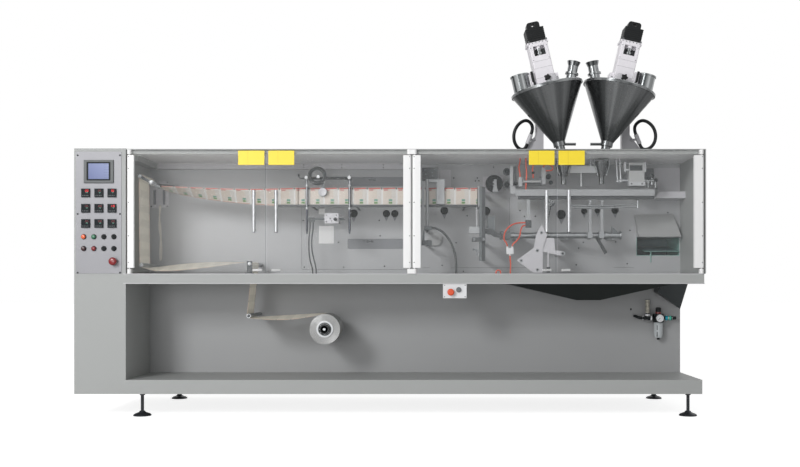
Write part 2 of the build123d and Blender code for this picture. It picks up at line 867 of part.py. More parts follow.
def make_handle(side, meeting):
    """A round pull bar on two posts."""
    x = meeting - side * handle_offset
    y = sheet_front - handle_projection + handle_radius
    low, high = up(handle_rise), up(handle_rise + handle_length)
    bar = rod((x, y, low), (x, y, high), handle_radius)
    bar = fillet(bar.edges().filter_by(GeomType.CIRCLE), handle_end_radius)
    for z in (low + handle_post_inset, high - handle_post_inset):
        bar += rod((x, y, z), (x, sheet_front, z), handle_post_radius)
    return bar


# Control panel


def make_control_panel():
    return block((left_x + panel_left_inset, inner_left - panel_right_inset), (panel_face, front_y),
                 (table_top, up(panel_height)))


def make_display():
    left, bottom, top = screen_margins
    x = (left_x + display_x[0], left_x + display_x[1])
    z = (up(display_z[0]), up(display_z[1]))
    front = panel_face - display_height
    frame = block(x, (front, panel_face), z)
    frame = chamfer(frame.faces().sort_by(Axis.Y)[0].edges(), display_chamfer)
    return frame - block((x[0] + left, x[1] - left), (front - 1, front + screen_depth),
                         (z[0] + bottom, z[1] - top))


def make_controllers():
    half = controller_size / 2
    side, low, high = controller_window
    front = panel_face - controller_height
    units = []
    for column_x in controller_columns:
        for row in controller_rows:
            x, z = left_x + column_x, up(row)
            unit = block((x - half, x + half), (front, panel_face), (z - half, z + half))
            units.append(unit - block((x - half + side, x + half - side),
                                      (front - 1, front + controller_window_depth),
                                      (z - low, z + half - high)))
    return units


def make_buttons():
    """The push-buttons and selectors, and the mushroom stop button."""
    buttons = []
    for row in button_rows:
        for column_x in button_columns:
            start = (left_x + column_x, panel_face, up(row))
            collar_end = (start[0], panel_face - button_collar, start[2])
            cap_end = (start[0], panel_face - button_collar - button_cap, start[2])
            buttons.append(rod(start, collar_end, button_radius) + rod(start, cap_end, button_cap_radius))
    x, z = left_x + stop_place[0], up(stop_place[1])
    buttons.append(mushroom(x, z, panel_face, stop_stem, stop_cap, stop_stem_radius, stop_radius))
    return buttons


def mushroom(x, z, y, stem, cap, stem_radius, radius):
    """A mushroom button that stands forward from a face at Y."""
    neck = rod((x, y, z), (x, y - stem, z), stem_radius)
    head = rod((x, y - stem, z), (x, y - stem - cap, z), radius)
    return neck + fillet(head.faces().sort_by(Axis.Y)[0].edges(), cap / 2)


# Film


def ribbon(stations, y):
    """A thin band that runs straight between circles and bends round them.

    A station is X, Z and a radius: positive where the circle lies to the left of the
    band's direction, negative where it lies to the right, and zero at a free end.
    """
    def trace(offset):
        spots = [(x, z, r + offset) for x, z, r in stations]
        headings = []
        for (x0, z0, r0), (x1, z1, r1) in zip(spots, spots[1:]):
            dx, dz = x1 - x0, z1 - z0
            headings.append(atan2(dz, dx) - asin((r1 - r0) / sqrt(dx * dx + dz * dz)))

        def touch(spot, heading):
            x, z, r = spot
            return (x + r * sin(heading), z - r * cos(heading))

        edges = []
        for index, heading in enumerate(headings):
            start, end = touch(spots[index], heading), touch(spots[index + 1], heading)
            edges.append(Line(start, end))
            if index + 1 < len(headings):
                turn = (headings[index + 1] - heading + pi) % (2 * pi) - pi
                edges.append(ThreePointArc(end, touch(spots[index + 1], heading + turn / 2),
                                           touch(spots[index + 1], headings[index + 1])))
        return edges

    half = film_thickness / 2
    left, right = trace(-half), trace(half)
    caps = [Line(left[-1] @ 1, right[-1] @ 1), Line(left[0] @ 0, right[0] @ 0)]
    outline = Wire([edge for line in left + right + caps for edge in line.edges()])
    near, far = y
    return extrude(Plane.XZ.offset(-far) * make_face(outline), amount=far - near)


def wrap(place, radius, side):
    """A film station round a roller: side is 1 to its right and -1 to its left."""
    x, z = place
    return (x, z, side * (radius + film_gap + film_thickness / 2))


def fold_section(share):
    """The folding film's cross-section: two limbs that close as share goes from 0 to 1."""
    angle = radians(fold_first_angle + (fold_last_angle - fold_first_angle) * share)
    limb = film_width / 2
    half_width, drop = limb * cos(angle), limb * sin(angle)
    edge, fold = (half_width, film_top), (0, film_top - drop)
    rise = film_thickness / max(cos(angle), 0.3)
    points = [(-edge[0], edge[1]), fold, edge, (edge[0], edge[1] + rise), (0, fold[1] + rise),
              (-edge[0], edge[1] + rise)]
    return Plane.YZ.offset(inner_left + fold_start + fold_length * share) * Polygon(
        *[(film_middle + y, z) for y, z in points], align=None)


def make_film():
    """The flat film from the reel to the former, the closing fold, the pouches and the tail."""
    stations = [
        wrap((reel_x, reel_z), reel_radius + reel_gap, 1),
        wrap(lower_roller, roller_radius, -1),
        wrap(table_roller, roller_radius, 1),
        wrap(turn_roller, roller_radius, -1),
        wrap(top_roller, roller_radius, -1),
        wrap(former_roller, roller_radius, 1),
        (inner_left + fold_start, film_top, 0),
    ]
    web = ribbon(stations, (film_front, film_back))
    closing = loft([fold_section(step / fold_steps) for step in range(fold_steps + 1)], ruled=True)
    pouches = block((inner_left + fold_start + fold_length + pouch_gap, at(film_end)),
                    (film_middle - pouch_thickness / 2, film_middle + pouch_thickness / 2),
                    (film_bottom, film_top))
    tail_y = -adjuster_thickness - tail_gap
    tail = block((inner_left + tail_x[0], inner_left + tail_x[1]), (tail_y - film_thickness, tail_y),
                 (up(tail_z[0]), up(tail_z[1])))
    return web, closing, pouches, tail


def make_rollers():
    """The guide rollers, all carried by the walls, and the small stand at the table roller."""
    rollers = []
    for x, z in (lower_roller, table_roller, turn_roller, top_roller, former_roller):
        rollers.append(rod((x, film_front - roller_overhang, z), (x, 0, z), roller_radius))
    x, z = table_roller
    front = film_front - roller_overhang
    half = roller_bracket_width / 2
    stand = block((x - half, x + half), (front - roller_bracket_depth, front), (table_top, z + half))
    foot_half = roller_foot_width / 2
    foot = block((x - foot_half, x + foot_half), (front - 2 * roller_bracket_depth, front),
                 (table_top, table_top + roller_foot_height))
    rollers[1] = rollers[1] + stand + foot
    return rollers


def make_former():
    """The sloping arm in front of the top rollers and the triangular nose inside the fold."""
    (x0, z0), (x1, z1) = top_roller, former_roller
    length = sqrt((x1 - x0) ** 2 + (z1 - z0) ** 2)
    ux, uz = (x1 - x0) / length, (z1 - z0) / length
    back, ahead = former_arm_ends
    h = former_arm_height
    ends = ((x0 - back * ux, z0 - back * uz), (x1 + ahead * ux, z1 + ahead * uz))
    outline = [(ends[0][0] + h * uz, ends[0][1] - h * ux), (ends[1][0] + h * uz, ends[1][1] - h * ux),
               (ends[1][0] - h * uz, ends[1][1] + h * ux), (ends[0][0] - h * uz, ends[0][1] + h * ux)]
    front = film_front - roller_overhang
    arm = front_plate(outline, (front - former_arm_depth, front))
    near, far, tip = [x1 + distance for distance in former_nose]
    bottom = film_top + former_nose_rise
    nose = Polygon((near, front), (far, front), (far, film_front), (tip, film_middle), (far, film_back),
                   (near, film_back), align=None)
    return arm + extrude(Pos(0, 0, bottom) * nose, amount=former_nose_thickness)


def make_film_guides():
    """The channel under the pouches and the clamp rods in front of them."""
    bottom = film_bottom - coil_gap - guide_rail_web
    x = (at(guide_rail_start), at(film_end))
    y = (film_middle - guide_rail_half, film_middle + guide_rail_half)
    channel = block(x, y, (bottom, bottom + guide_rail_height))
    channel -= block(x, (y[0] + guide_rail_lip, y[1] - guide_rail_lip),
                     (bottom + guide_rail_web, bottom + guide_rail_height + 1))
    for arm in guide_rail_arms:
        z = bottom + guide_rail_web / 2
        channel += rod((at(arm), y[1] - guide_rail_lip, z), (at(arm), 0, z), guide_rail_arm_radius)
    clamps = station(clamp_bar)
    tip, taper, head = clamp_rod_z
    for x in clamp_rods:
        profile = [(0, tip), (clamp_rod_tip_radius, tip), (clamp_rod_radius, taper),
                   (clamp_rod_radius, head), (0, head)]
        clamps += turned(profile, Pos(at(x), film_middle + clamp_rod_y, table_top))
        for z, radius, front in clamp_knobs:
            back = clamp_bar[1][0] if z > film_rise + 9 else clamp_rod_y
            clamps += pin(x, z, (front, back + 1), radius)
    for x in clamp_stubs:
        z = (clamp_bar[2][0] + clamp_bar[2][1]) / 2
        clamps += wall_arm(x, z, clamp_bar[1][1] - 1, clamp_stub_radius)
    return channel, clamps


def make_print_station():
    """The edge sensor under the clamp bar, and the date coder on its arm."""
    x, z, radius = sensor_disc
    back = sensor_strap[1][0]
    front = back - sensor_disc_thickness
    sensor = station(sensor_strap) + pin(x, z, (front, back + 1), radius)
    sensor += pin(x, z, (front - sensor_lens_height, front), sensor_lens_radius)
    (x0, x1), y, z = coder_shaft
    coder = station(coder_body) + station(coder_plug)
    coder = fillet(coder.edges().filter_by(Axis.Y), edge_radius)
    coder += rod((at(x0), film_middle + y, up(z)), (at(x1), film_middle + y, up(z)), coder_shaft_radius)
    middle = (coder_body[0][0] + coder_body[0][1]) / 2
    coder += wall_arm(middle, z, coder_body[1][1] - 1, coder_arm_radius)
    x, z, radius, height = coder_knob
    coder += pin(x, z, (coder_body[1][0] - height, coder_body[1][0] + 1), radius)
    return sensor, coder


# Stations


def mirrored(y):
    """The same stretch of depth on the other side of the film."""
    return (-y[1], -y[0])


def make_side_sealer():
    """Two heated heads and jaws, one each side of the film, on a post with wall arms."""
    jaw_top = (sealer_jaw_z[1], sealer_head_z[0])
    pieces = [station(sealer_bridge), station(sealer_rail)]
    for flip in (lambda y: y, mirrored):
        pieces.append(station((sealer_head_x, flip(sealer_head_y), sealer_head_z)))
        pieces.append(station((sealer_bar_x, flip(sealer_bar_y), jaw_top)))
        pieces.append(station((sealer_jaw_x, flip(sealer_jaw_y), (sealer_jaw_z[0], jaw_top[1]))))
    x, y, radius = sealer_post
    low = sealer_feet[0][2][0]
    high = sealer_head_z[0] + 1
    pieces.append(rod((at(x), film_middle + y, up(low)), (at(x), film_middle + y, up(high)), radius))
    for foot in sealer_feet:
        pieces.append(station(foot))
        height = (foot[2][0] + foot[2][1]) / 2
        pieces.append(wall_arm(sealer_arm_x, height, foot[1][1] - 1, sealer_arm_radius))
    height = (sealer_head_z[0] + sealer_head_z[1]) / 2
    pieces.append(wall_arm((sealer_head_x[0] + sealer_head_x[1]) / 2, height, sealer_head_y[1] - 1,
                           sealer_arm_radius))
    return fuse(pieces)


def make_knife_station():
    """The two guide bars of the knife, its blade, chain, clamps and feed lever."""
    pieces = [station(knife_light_bar), station(knife_dark_bar), station(knife_blade),
              station(knife_chain), station(knife_chain_tab), station(knife_plate)]
    pieces += [station(clamp) for clamp in knife_clamps]
    pieces.append(station_plate(knife_lever, knife_lever_y))
    x = (knife_dark_bar[0][0] + knife_dark_bar[0][1]) / 2
    pieces += [wall_arm(x, z, knife_dark_bar[1][1] - 1, knife_arm_radius) for z in knife_arm_heights]
    x, z = knife_plate_arm
    pieces.append(wall_arm(x, z, knife_plate[1][1] - 1, knife_arm_radius))
    return fuse(pieces)


def make_handwheel():
    """The setting handwheel on its shaft, with a crank and its knob."""
    x, z = at(handwheel_place[0]), up(handwheel_place[1])
    back = -handwheel_from_wall
    front = back - handwheel_width
    wheel = rod((x, front, z), (x, back, z), handwheel_radius)
    wheel = fillet(wheel.edges().filter_by(GeomType.CIRCLE), handwheel_width / 3)
    hub = rod((x, front - handwheel_hub, z), (x, back, z), handwheel_hub_radius)
    shaft = rod((x, back - 1, z), (x, -wall_plates[4][2], z), handwheel_shaft_radius)
    crank_back = front - handwheel_hub
    lever = front_plate([(at(px), up(pz)) for px, pz in crank], (crank_back - crank_thickness, crank_back))
    kx, kz, radius, height = crank_knob
    knob = rod((at(kx), crank_back - crank_thickness - height, up(kz)),
               (at(kx), crank_back - 1, up(kz)), radius)
    return fuse([wheel, hub, shaft, lever, knob])


def make_pouch_opener():
    """The suction opener: discs, air cylinders and bars on arms from the wall."""
    pieces = [station(bar) for bar in opener_bars] + [station(opener_link), station(opener_eye_link)]
    pieces += [pin(x, z, opener_disc_y, radius) for x, z, radius in opener_discs]
    x, z, radius = opener_eye
    pieces.append(pin(x, z, (opener_disc_y[0], 0), radius))
    pieces += [wall_arm(x, z, opener_disc_y[0] - 1, opener_arm_radius) for x, z in opener_arms]
    return fuse(pieces)


def make_transport_rail():
    """The long rail that carries the pouches, its lip, end block, strut and wall arms."""
    pieces = [
        station(((rail_start, rail_end), rail_y, rail_z)),
        station(((rail_start + rail_lip_inset, rail_end), rail_lip_y, rail_lip_z)),
        station(rail_block), station(rail_strut), station(rail_clamp),
    ]
    height = (rail_z[0] + rail_z[1]) / 2
    pieces += [wall_arm(x, height, rail_y[1] - 1, rail_arm_radius) for x in rail_arms]
    return fuse(pieces)


def make_gripper_drive():
    """The gripper shaft in its bearings, with collars, arms, link rods and levers."""
    y, z = gripper_shaft_y, gripper_shaft_z
    left, right = gripper_shaft_x

    def along(x0, x1, radius):
        return rod((at(x0), film_middle + y, up(z)), (at(x1), film_middle + y, up(z)), radius)

    half = gripper_collar_width / 2
    pieces = [along(left - 1, right, gripper_shaft_radius), station(gripper_coupling),
              along(right - 1, right + gripper_cap_width, gripper_cap_radius)]
    pieces += [along(x - half, x + half, gripper_collar_radius) for x in gripper_collars]
    for x in gripper_bearings:
        spread = (x - gripper_bearing_half, x + gripper_bearing_half)
        pieces.append(station((spread, (y, -film_middle), gripper_bearing_z)))
    finger_z, finger_radius, finger_front = gripper_finger
    for x in gripper_arms:
        arm = (x - gripper_arm_half, x + gripper_arm_half)
        boss = (x - gripper_boss_half, x + gripper_boss_half)
        pieces.append(station((arm, gripper_arm_y, gripper_arm_z)))
        pieces.append(station((boss, (gripper_arm_y[0], y + gripper_shaft_radius), (z - 18, z + 18))))
        pieces.append(pin(x, finger_z, (-finger_front, gripper_arm_y[1]), finger_radius))
    for stops in gripper_links:
        ends = [(at(x), film_middle + gripper_link_y, up(height)) for x, height in stops]
        pieces += [rod(a, b, gripper_link_radius) for a, b in zip(ends, ends[1:])]
    x, low, high = gripper_end_knob
    pieces.append(rod((at(x), film_middle + gripper_link_y, up(low)),
                      (at(x), film_middle + gripper_link_y, up(high)), gripper_link_radius))
    pieces.append(station_plate(gripper_lever, gripper_plate_y))
    pieces.append(station_plate(gripper_bracket, gripper_plate_y))
    return fuse(pieces)


def rounded_plate(points, y, radius):
    """A station plate with rounded corners."""
    outline = fillet(Polygon(*[(at(x), up(z)) for x, z in points], align=None).vertices(), radius)
    near, far = film_middle + y[0], film_middle + y[1]
    return extrude(Plane.XZ.offset(-far) * outline, amount=far - near, dir=(0, -1, 0))


def make_cam_plates():
    """The large triangular cam plate with its lever, the disc on the wall and the chain."""
    plate = rounded_plate(cam_plate, cam_plate_y, cam_hole_radius)
    for x, z in cam_holes:
        plate -= pin(x, z, (cam_plate_y[0] - 1, cam_plate_y[1] + 1), cam_hole_radius)
    lever = station_plate(cam_lever, cam_lever_y)
    x, z, radius = cam_lever_eye
    lever += pin(x, z, cam_lever_y, radius)
    rod_x, rod_radius = cam_lever_rod
    middle = (cam_lever_y[0] + cam_lever_y[1]) / 2
    lever += rod((at(rod_x), film_middle + middle, up(cam_lever_foot[2][0])),
                 (at(rod_x), film_middle + middle, up(cam_lever[5][1] + 10)), rod_radius)
    lever += station(cam_lever_foot)
    body = plate + lever
    (x0, z0), (x1, z1) = cam_arms
    body += wall_arm(x0, z0, cam_plate_y[1] - 1, cam_arm_radius)
    body += wall_arm(x1, z1, cam_lever_y[1] - 1, cam_arm_radius)
    x, z, radius, width = cam_disc
    disc = rod((at(x), -width, up(z)), (at(x), 0, up(z)), radius)
    x, z, radius = chain_wheel
    wheel = pin(x, z, (chain_y[0] - 4, chain_y[1] + 2), radius) + wall_arm(x, z, chain_y[1], cam_arm_radius)
    half = chain_width / 2
    run = [(x - radius - half, z), (x - radius + half, z), (chain_end[0] + half, chain_end[1]),
           (chain_end[0] - half, chain_end[1])]
    return body, disc, wheel + station_plate(run, chain_y)


def make_funnels():
    """The two filling funnels with side straps, hung from the roof by a cross bracket."""
    spout, neck, shoulder, rim = funnel_z
    outer = [(0, spout), (funnel_spout_radius, spout), (funnel_spout_radius, neck),
             (funnel_radius, shoulder), (funnel_radius, rim), (0, rim)]
    inner = [(0, spout - 1), (funnel_spout_radius - funnel_wall, spout - 1),
             (funnel_spout_radius - funnel_wall, neck), (funnel_radius - funnel_wall, shoulder),
             (funnel_radius - funnel_wall, rim + 1), (0, rim + 1)]
    x, low = funnel_rod
    body = station(funnel_bracket)
    body += rod((at(x), film_middle, up(low)), (at(x), film_middle, up(funnel_bracket[2][0] + 1)),
                funnel_hanger_radius)
    for x in funnel_hangers:
        body += rod((at(x), film_middle, up(funnel_bracket[2][1] - 1)), (at(x), film_middle, ceiling),
                    funnel_hanger_radius)
    places = [Pos(at(x), film_middle, table_top) for x in funnel_places]
    for x, place in zip(funnel_places, places):
        body += turned(outer, place)
        for side in (-1, 1):
            strap = [(x + side * px, pz) for px, pz in funnel_strap]
            body += station_plate(strap, (-funnel_strap_half, funnel_strap_half))
    for place in places:
        body -= turned(inner, place)
    return body


def make_valve_box():
    """The valve box on the wall, with its side arms, air pipe, taps and linkage."""
    x, z = valve_box_stub
    pipe_z, pipe_radius, pipe_end = valve_pipe
    pieces = [station(valve_box), station(valve_box_plate), station(valve_box_bar)]
    pieces += [station(arm) for arm in valve_box_arms]
    pieces.append(station((x, (valve_box[1][1], -film_middle), z)))
    start = at(valve_links[0][1][0])
    pieces.append(rod((start, film_middle, up(pipe_z)), (at(pipe_end), film_middle, up(pipe_z)), pipe_radius))
    for x, low, high in valve_taps:
        pieces.append(rod((at(x), film_middle, up(low)), (at(x), film_middle, up(high)), valve_tap_radius))
    for (x0, z0), (x1, z1) in valve_links:
        pieces.append(rod((at(x0), film_middle, up(z0) - 2), (at(x1), film_middle, up(z1)), valve_link_radius))
        pieces.append(Pos(at(x1), film_middle, up(z1)) * Sphere(valve_link_knob))
    return fuse(pieces)


def make_wall_plates():
    """The plates on the wall: covers, the film adjuster, the vent, the shelf and a disc."""
    plates = []
    for x, z, thickness in wall_plates:
        plates.append(block((at(x[0]), at(x[1])), (-thickness, 0), (up(z[0]), up(z[1]))))
    for x, z, thickness in end_plates:
        plates.append(block((from_end(x[0]), from_end(x[1])), (-thickness, 0), (up(z[0]), up(z[1]))))
    x, z, radius, thickness = funnel_disc
    plates.append(rod((at(x), -thickness, up(z)), (at(x), 0, up(z)), radius))
    adjuster = block((inner_left + adjuster_x[0], inner_left + adjuster_x[1]), (-adjuster_thickness, 0),
                     (up(adjuster_z[0]), up(adjuster_z[1])))
    for low, high in adjuster_slots:
        middle = inner_left + (low + high) / 2
        half = adjuster_slot_width / 2
        adjuster -= block((middle - half, middle + half), (-adjuster_thickness - 1, 1),
                          (up(adjuster_slot_z[0]), up(adjuster_slot_z[1])))
    for x, z in (top_roller, former_roller):
        adjuster -= rod((x, -adjuster_thickness - 1, z), (x, 1, z), roller_radius + film_gap)
    plates.append(adjuster)
    vent = block((at(vent_x[0]), at(vent_x[1])), (-vent_thickness, 0), (up(vent_z[0]), up(vent_z[1])))
    pitch = (vent_z[1] - vent_z[0]) / vent_ribs
    for rib in range(vent_ribs):
        low = vent_z[0] + (rib + 0.3) * pitch
        vent -= block((at(vent_x[0] + 4), at(vent_x[1] - 4)), (-vent_thickness - 1, -vent_thickness / 2),
                      (up(low), up(low + pitch / 2)))
    plates.append(vent)
    x0, x1 = from_end(shelf_x[0]), from_end(shelf_x[1])
    low, high = up(shelf_z[0]), up(shelf_z[1])
    shelf = block((x0, x1), (-shelf_depth, 0), (low, low + shelf_sheet))
    lip = [(x0, low), (x1, low), (x1, high), (x0 + shelf_slope, high)]
    plates.append(shelf + front_plate(lip, (-shelf_depth, -shelf_depth + shelf_sheet)))
    return plates


def make_discharge():
    """The sloping hood over the discharge window, the window's liner and the inner tray."""
    def ring(x, y, z, grow):
        face = Rectangle(from_end(x[1]) - from_end(x[0]) - 2 * grow, y[1] - y[0])
        return Pos((from_end(x[0]) + from_end(x[1])) / 2, (y[0] + y[1]) / 2, z) * face

    foot_z, head_z = up(chute_z[1]), up(hood_head_z)
    outer = loft([ring(hood_foot_x, (-hood_depth, 0), foot_z, 0),
                  ring(hood_head_x, (-hood_head_depth, 0), head_z, 0)], ruled=True)
    inner = loft([ring(hood_foot_x, (chute_sheet - hood_depth, 1), foot_z - 1, chute_sheet),
                  ring(hood_head_x, (chute_sheet - hood_head_depth, 1), head_z - chute_sheet, chute_sheet)],
                 ruled=True)
    x = (from_end(chute_x[0]), from_end(chute_x[1]))
    z = (up(chute_z[0]), up(chute_z[1]))
    liner = block(x, (0, chute_pocket), z)
    liner -= block((x[0] + chute_sheet, x[1] - chute_sheet), (-1, chute_pocket - chute_sheet),
                   (z[0] + chute_sheet, z[1] + 1))
    (y0, z0), (y1, z1) = tray_front, tray_back
    slope = [(y0, up(z0)), (y1, up(z1)), (y1, up(z1) + chute_sheet), (y0, up(z0) + chute_sheet)]
    tray = side_plate(slope, (from_end(tray_x[0]), x[1] - chute_sheet))
    x, low, high = chute_latch
    latch = rod((from_end(x), -chute_latch_radius, up(low)), (from_end(x), -chute_latch_radius, up(high)),
                chute_latch_radius)
    return outer - inner, liner + tray, latch


# Under the table


def make_troughs():
    """The shallow drain trough, and the corner housing under the discharge end."""
    z = table_underside
    faces = []
    for x, y, height in ((sump_top_x, sump_y, z), (sump_bottom_x, sump_bottom_y, z - sump_depth)):
        faces.append(Pos((at(x[0]) + at(x[1])) / 2, (y[0] + y[1]) / 2, height) * Rectangle(
            x[1] - x[0], y[1] - y[0]))
    trough = loft(faces, ruled=True)
    side = side_plate([(0, z), (-gusset_reach, z), (0, z - gusset_depth)],
                      (cabinet_right - gusset_length, cabinet_right))
    front = front_plate([(cabinet_right, z), (cabinet_right, z - gusset_depth),
                         (cabinet_right - gusset_length, z - gusset_short_depth),
                         (cabinet_right - gusset_length, z)], (-gusset_reach, 0))
    return trough, side & front


def make_switch_box():
    """The small box under the table's front edge, with a stop button and a selector."""
    front = front_y + switch_box_setback
    low = table_underside - switch_box_height
    box = block((at(switch_box_x[0]), at(switch_box_x[1])), (front, front + switch_box_depth),
                (low, table_underside))
    box = fillet(box.edges().filter_by(Axis.Y).group_by(Axis.Z)[0], edge_radius)
    x, drop, radius = switch_button
    box += mushroom(at(x), table_underside - drop, front, switch_button_stem, switch_button_cap,
                    radius / 2, radius)
    x, drop, radius = selector
    x, z = at(x), table_underside - drop
    return box + rod((x, front + 1, z), (x, front - selector_height, z), radius)


def make_air_unit():
    """The filter regulator with gauge, bowl and knob, the silencer and the slide valve."""
    x, z = from_end(air_unit[0]), table_underside - air_unit[1]
    y, half, height = air_unit_y, air_body_half, air_body_height
    place = Pos(x, y, z)
    body = block((x - half, x + half), (y - half, y + half), (z - height, z + height))
    body = fillet(body.edges().filter_by(Axis.Y), edge_radius)
    silencer_x, silencer_radius, silencer_top = air_silencer
    knob_x, knob_radius, knob_length = air_left_knob
    return fuse([
        body,
        block((x - half / 2, x + half / 2), (y + half, 0), (z - height / 2, z + height / 2)),
        rod((x, y - half + 1, z), (x, y - half - air_gauge_depth, z), air_gauge_radius),
        turned(air_bowl, place),
        turned(air_knob, place),
        turned(air_right, place * Rot(0, 90, 0)),
        turned(air_left, place * Rot(0, -90, 0)),
        rod((x + silencer_x, y, z), (x + silencer_x, y, z + silencer_top), silencer_radius),
        rod((x + knob_x, y, z), (x + knob_x, y - knob_length, z), knob_radius),
    ])


# Reel


def make_reel_roll():
    outer = rod((reel_x, film_front, reel_z), (reel_x, film_back, reel_z), reel_radius)
    return outer - rod((reel_x, film_front - 1, reel_z), (reel_x, film_back + 1, reel_z),
                       reel_core_radius + reel_fit)


def make_reel_hub():
    """The expanding hub: sleeve, front ring, rear flange and ribbed hand nut."""
    ring_y = film_front - reel_ring_width - reel_side_gap
    flange_y = film_back + reel_side_gap
    flange_end = flange_y + reel_flange_width
    sleeve = rod((reel_x, ring_y, reel_z), (reel_x, flange_end, reel_z), reel_core_radius)
    ring = rod((reel_x, ring_y, reel_z), (reel_x, ring_y + reel_ring_width, reel_z), reel_ring_radius)
    flange = rod((reel_x, flange_y, reel_z), (reel_x, flange_end, reel_z), reel_flange_radius)
    nut_face = Circle(reel_nut_radius)
    for location in PolarLocations(reel_nut_radius, reel_nut_lobes):
        nut_face -= location * Circle(reel_nut_radius / 8)
    nut = extrude(Plane.XZ.offset(-ring_y) * Pos(reel_x, reel_z) * nut_face, amount=reel_nut_length)
    bore = rod((reel_x, film_front - shaft_end_gap, reel_z), (reel_x, 0, reel_z),
               shaft_radius + shaft_clearance)
    return sleeve + ring + flange + nut - bore


def make_reel_shaft():
    """The fixed shaft that carries the reel, with its flange on the niche wall."""
    shaft = rod((reel_x, 0, reel_z), (reel_x, film_front, reel_z), shaft_radius)
    return shaft + rod((reel_x, 0, reel_z), (reel_x, -shaft_collar, reel_z), shaft_collar_radius)


# Fillers


def filler_place(side):
    """The tilted place of one filler: its origin is the middle of the hopper's rim."""
    x = filler_middle + side * filler_rim_reach
    return Pos(x, film_middle, filler_rim_height) * Rot(0, side * filler_tilt, 0)


def make_hopper(side):
    """An open cone with a rolled rim, a neck down to the roof, and the clamp on the neck."""
    low = -hopper_cone_height
    bottom = low - hopper_neck
    profile = [
        (hopper_outlet_radius - hopper_wall, bottom), (hopper_outlet_radius, bottom),
        (hopper_outlet_radius, low), (hopper_radius, -hopper_rim_thickness),
        (hopper_rim_radius, -hopper_rim_thickness), (hopper_rim_radius, 0),
        (hopper_radius - hopper_wall, 0), (hopper_radius - hopper_wall, -hopper_rim_thickness),
        (hopper_outlet_radius - hopper_wall, low),
    ]
    body = turned(profile, filler_place(side))
    clamp = Pos(0, 0, -neck_clamp_drop - neck_clamp_height) * column(neck_clamp_radius, neck_clamp_height)
    level = Pos(0, 0, -neck_clamp_drop - neck_clamp_height / 2) * Rot(0, -side * (90 + filler_tilt), 0)
    nozzle = level * column(neck_nozzle_radius, neck_nozzle_length)
    core = Pos(0, 0, low - hopper_neck) * column(hopper_outlet_radius, hopper_neck)
    cone = [(0, low - 1), (hopper_outlet_radius - 1, low - 1), (hopper_outlet_radius - 1, low),
            (hopper_radius - 1, -hopper_rim_thickness), (0, -hopper_rim_thickness)]
    fitting = filler_place(side) * (clamp + nozzle - core) - turned(cone, filler_place(side))
    return body + fitting


def make_lid(side):
    """The hopper's lid with its open powder inlet and the flared butterfly valve tube."""
    place = filler_place(side)
    inlet = Pos(side * -inlet_x, 0, 0)
    body = column(hopper_radius, lid_thickness) + inlet * column(inlet_radius, inlet_height)
    rim = Pos(0, 0, inlet_height - inlet_rim_height) * column(inlet_radius + inlet_rim, inlet_rim_height)
    body += inlet * rim
    lean = Pos(side * -valve_tube_x, 0, 0) * Rot(0, side * -valve_tube_lean, 0)
    flare_start = valve_tube_height - valve_tube_flare_height
    tube = [(0, -valve_tube_radius), (valve_tube_radius, -valve_tube_radius),
            (valve_tube_radius, valve_ring_height), (valve_ring_radius, valve_ring_height),
            (valve_ring_radius, valve_ring_height + valve_ring_width),
            (valve_tube_radius, valve_ring_height + valve_ring_width), (valve_tube_radius, flare_start),
            (valve_tube_radius + valve_tube_flare, valve_tube_height), (0, valve_tube_height)]
    body += turned(tube, lean)
    body -= Pos(0, 0, -4 * valve_tube_radius) * column(2 * hopper_radius, 4 * valve_tube_radius)
    body -= inlet * Pos(0, 0, lid_thickness) * column(inlet_radius - inlet_wall, inlet_height)
    body -= lean * Pos(0, 0, flare_start) * column(valve_tube_radius - inlet_wall, inlet_height)
    return place * body


def make_gearbox(side):
    """The drive housing with its window, the coupling seen in it, an ear and a bracket."""
    width, depth, height = gearbox_width, gearbox_depth, gearbox_height
    body = upright(width, depth, height)
    body = fillet(body.edges().filter_by(Axis.Z), gearbox_edge)
    flange_width = gearbox_flange_width
    body += Pos(0, 0, height - gearbox_flange) * upright(flange_width, depth, gearbox_flange)
    window_width, window_height, window_z = gearbox_window
    window = Pos(0, -depth / 2, window_z) * upright(window_width, 2 * gearbox_window_depth, window_height)
    body -= window
    body += Pos(0, -depth / 2 + gearbox_window_depth / 2, window_z) * column(coupling_radius, window_height)
    ear_width, ear_depth, ear_height = gearbox_ear
    body += Pos(side * -ear_width, 0, 0) * upright(ear_width / 2, ear_depth, ear_height)
    x = sorted((side * -bracket_x[0], side * -bracket_x[1]))
    bracket = block(x, (-depth / 2, -depth / 2 + 20), (bracket_z[0], bracket_z[1]))
    arm = block(sorted((side * -bracket_x[1], side * width / 2)), (-depth / 2, -depth / 2 + 20),
                (bracket_z[0], bracket_z[0] + 20))
    return filler_place(side) * Pos(0, 0, gearbox_bottom) * (body + bracket + arm)


def make_motor(side):
    """The servo motor: flange, ribbed body, end cap and lifting eye."""
    body = upright(motor_flange_width, motor_flange_width, motor_flange)
    body += upright(motor_width, motor_width, motor_height)
    body = fillet(body.edges().filter_by(Axis.Z), gearbox_edge)
    cap_width, cap_depth, cap_height = motor_cap
    body += Pos(0, 0, motor_height) * fillet(
        upright(cap_width, cap_depth, cap_height).edges().filter_by(Axis.Y).group_by(Axis.Z)[-1], 16)
    eye_radius, eye_hole = motor_eye
    eye_z = motor_height + cap_height - eye_hole
    slot = Rot(90, 0, 0) * Cylinder(eye_hole, cap_depth + 2)
    body -= Pos(-eye_hole / 2, 0, eye_z - eye_hole) * slot + Pos(eye_hole / 2, 0, eye_z - eye_hole) * slot
    return filler_place(side) * Pos(0, 0, gearbox_top) * body


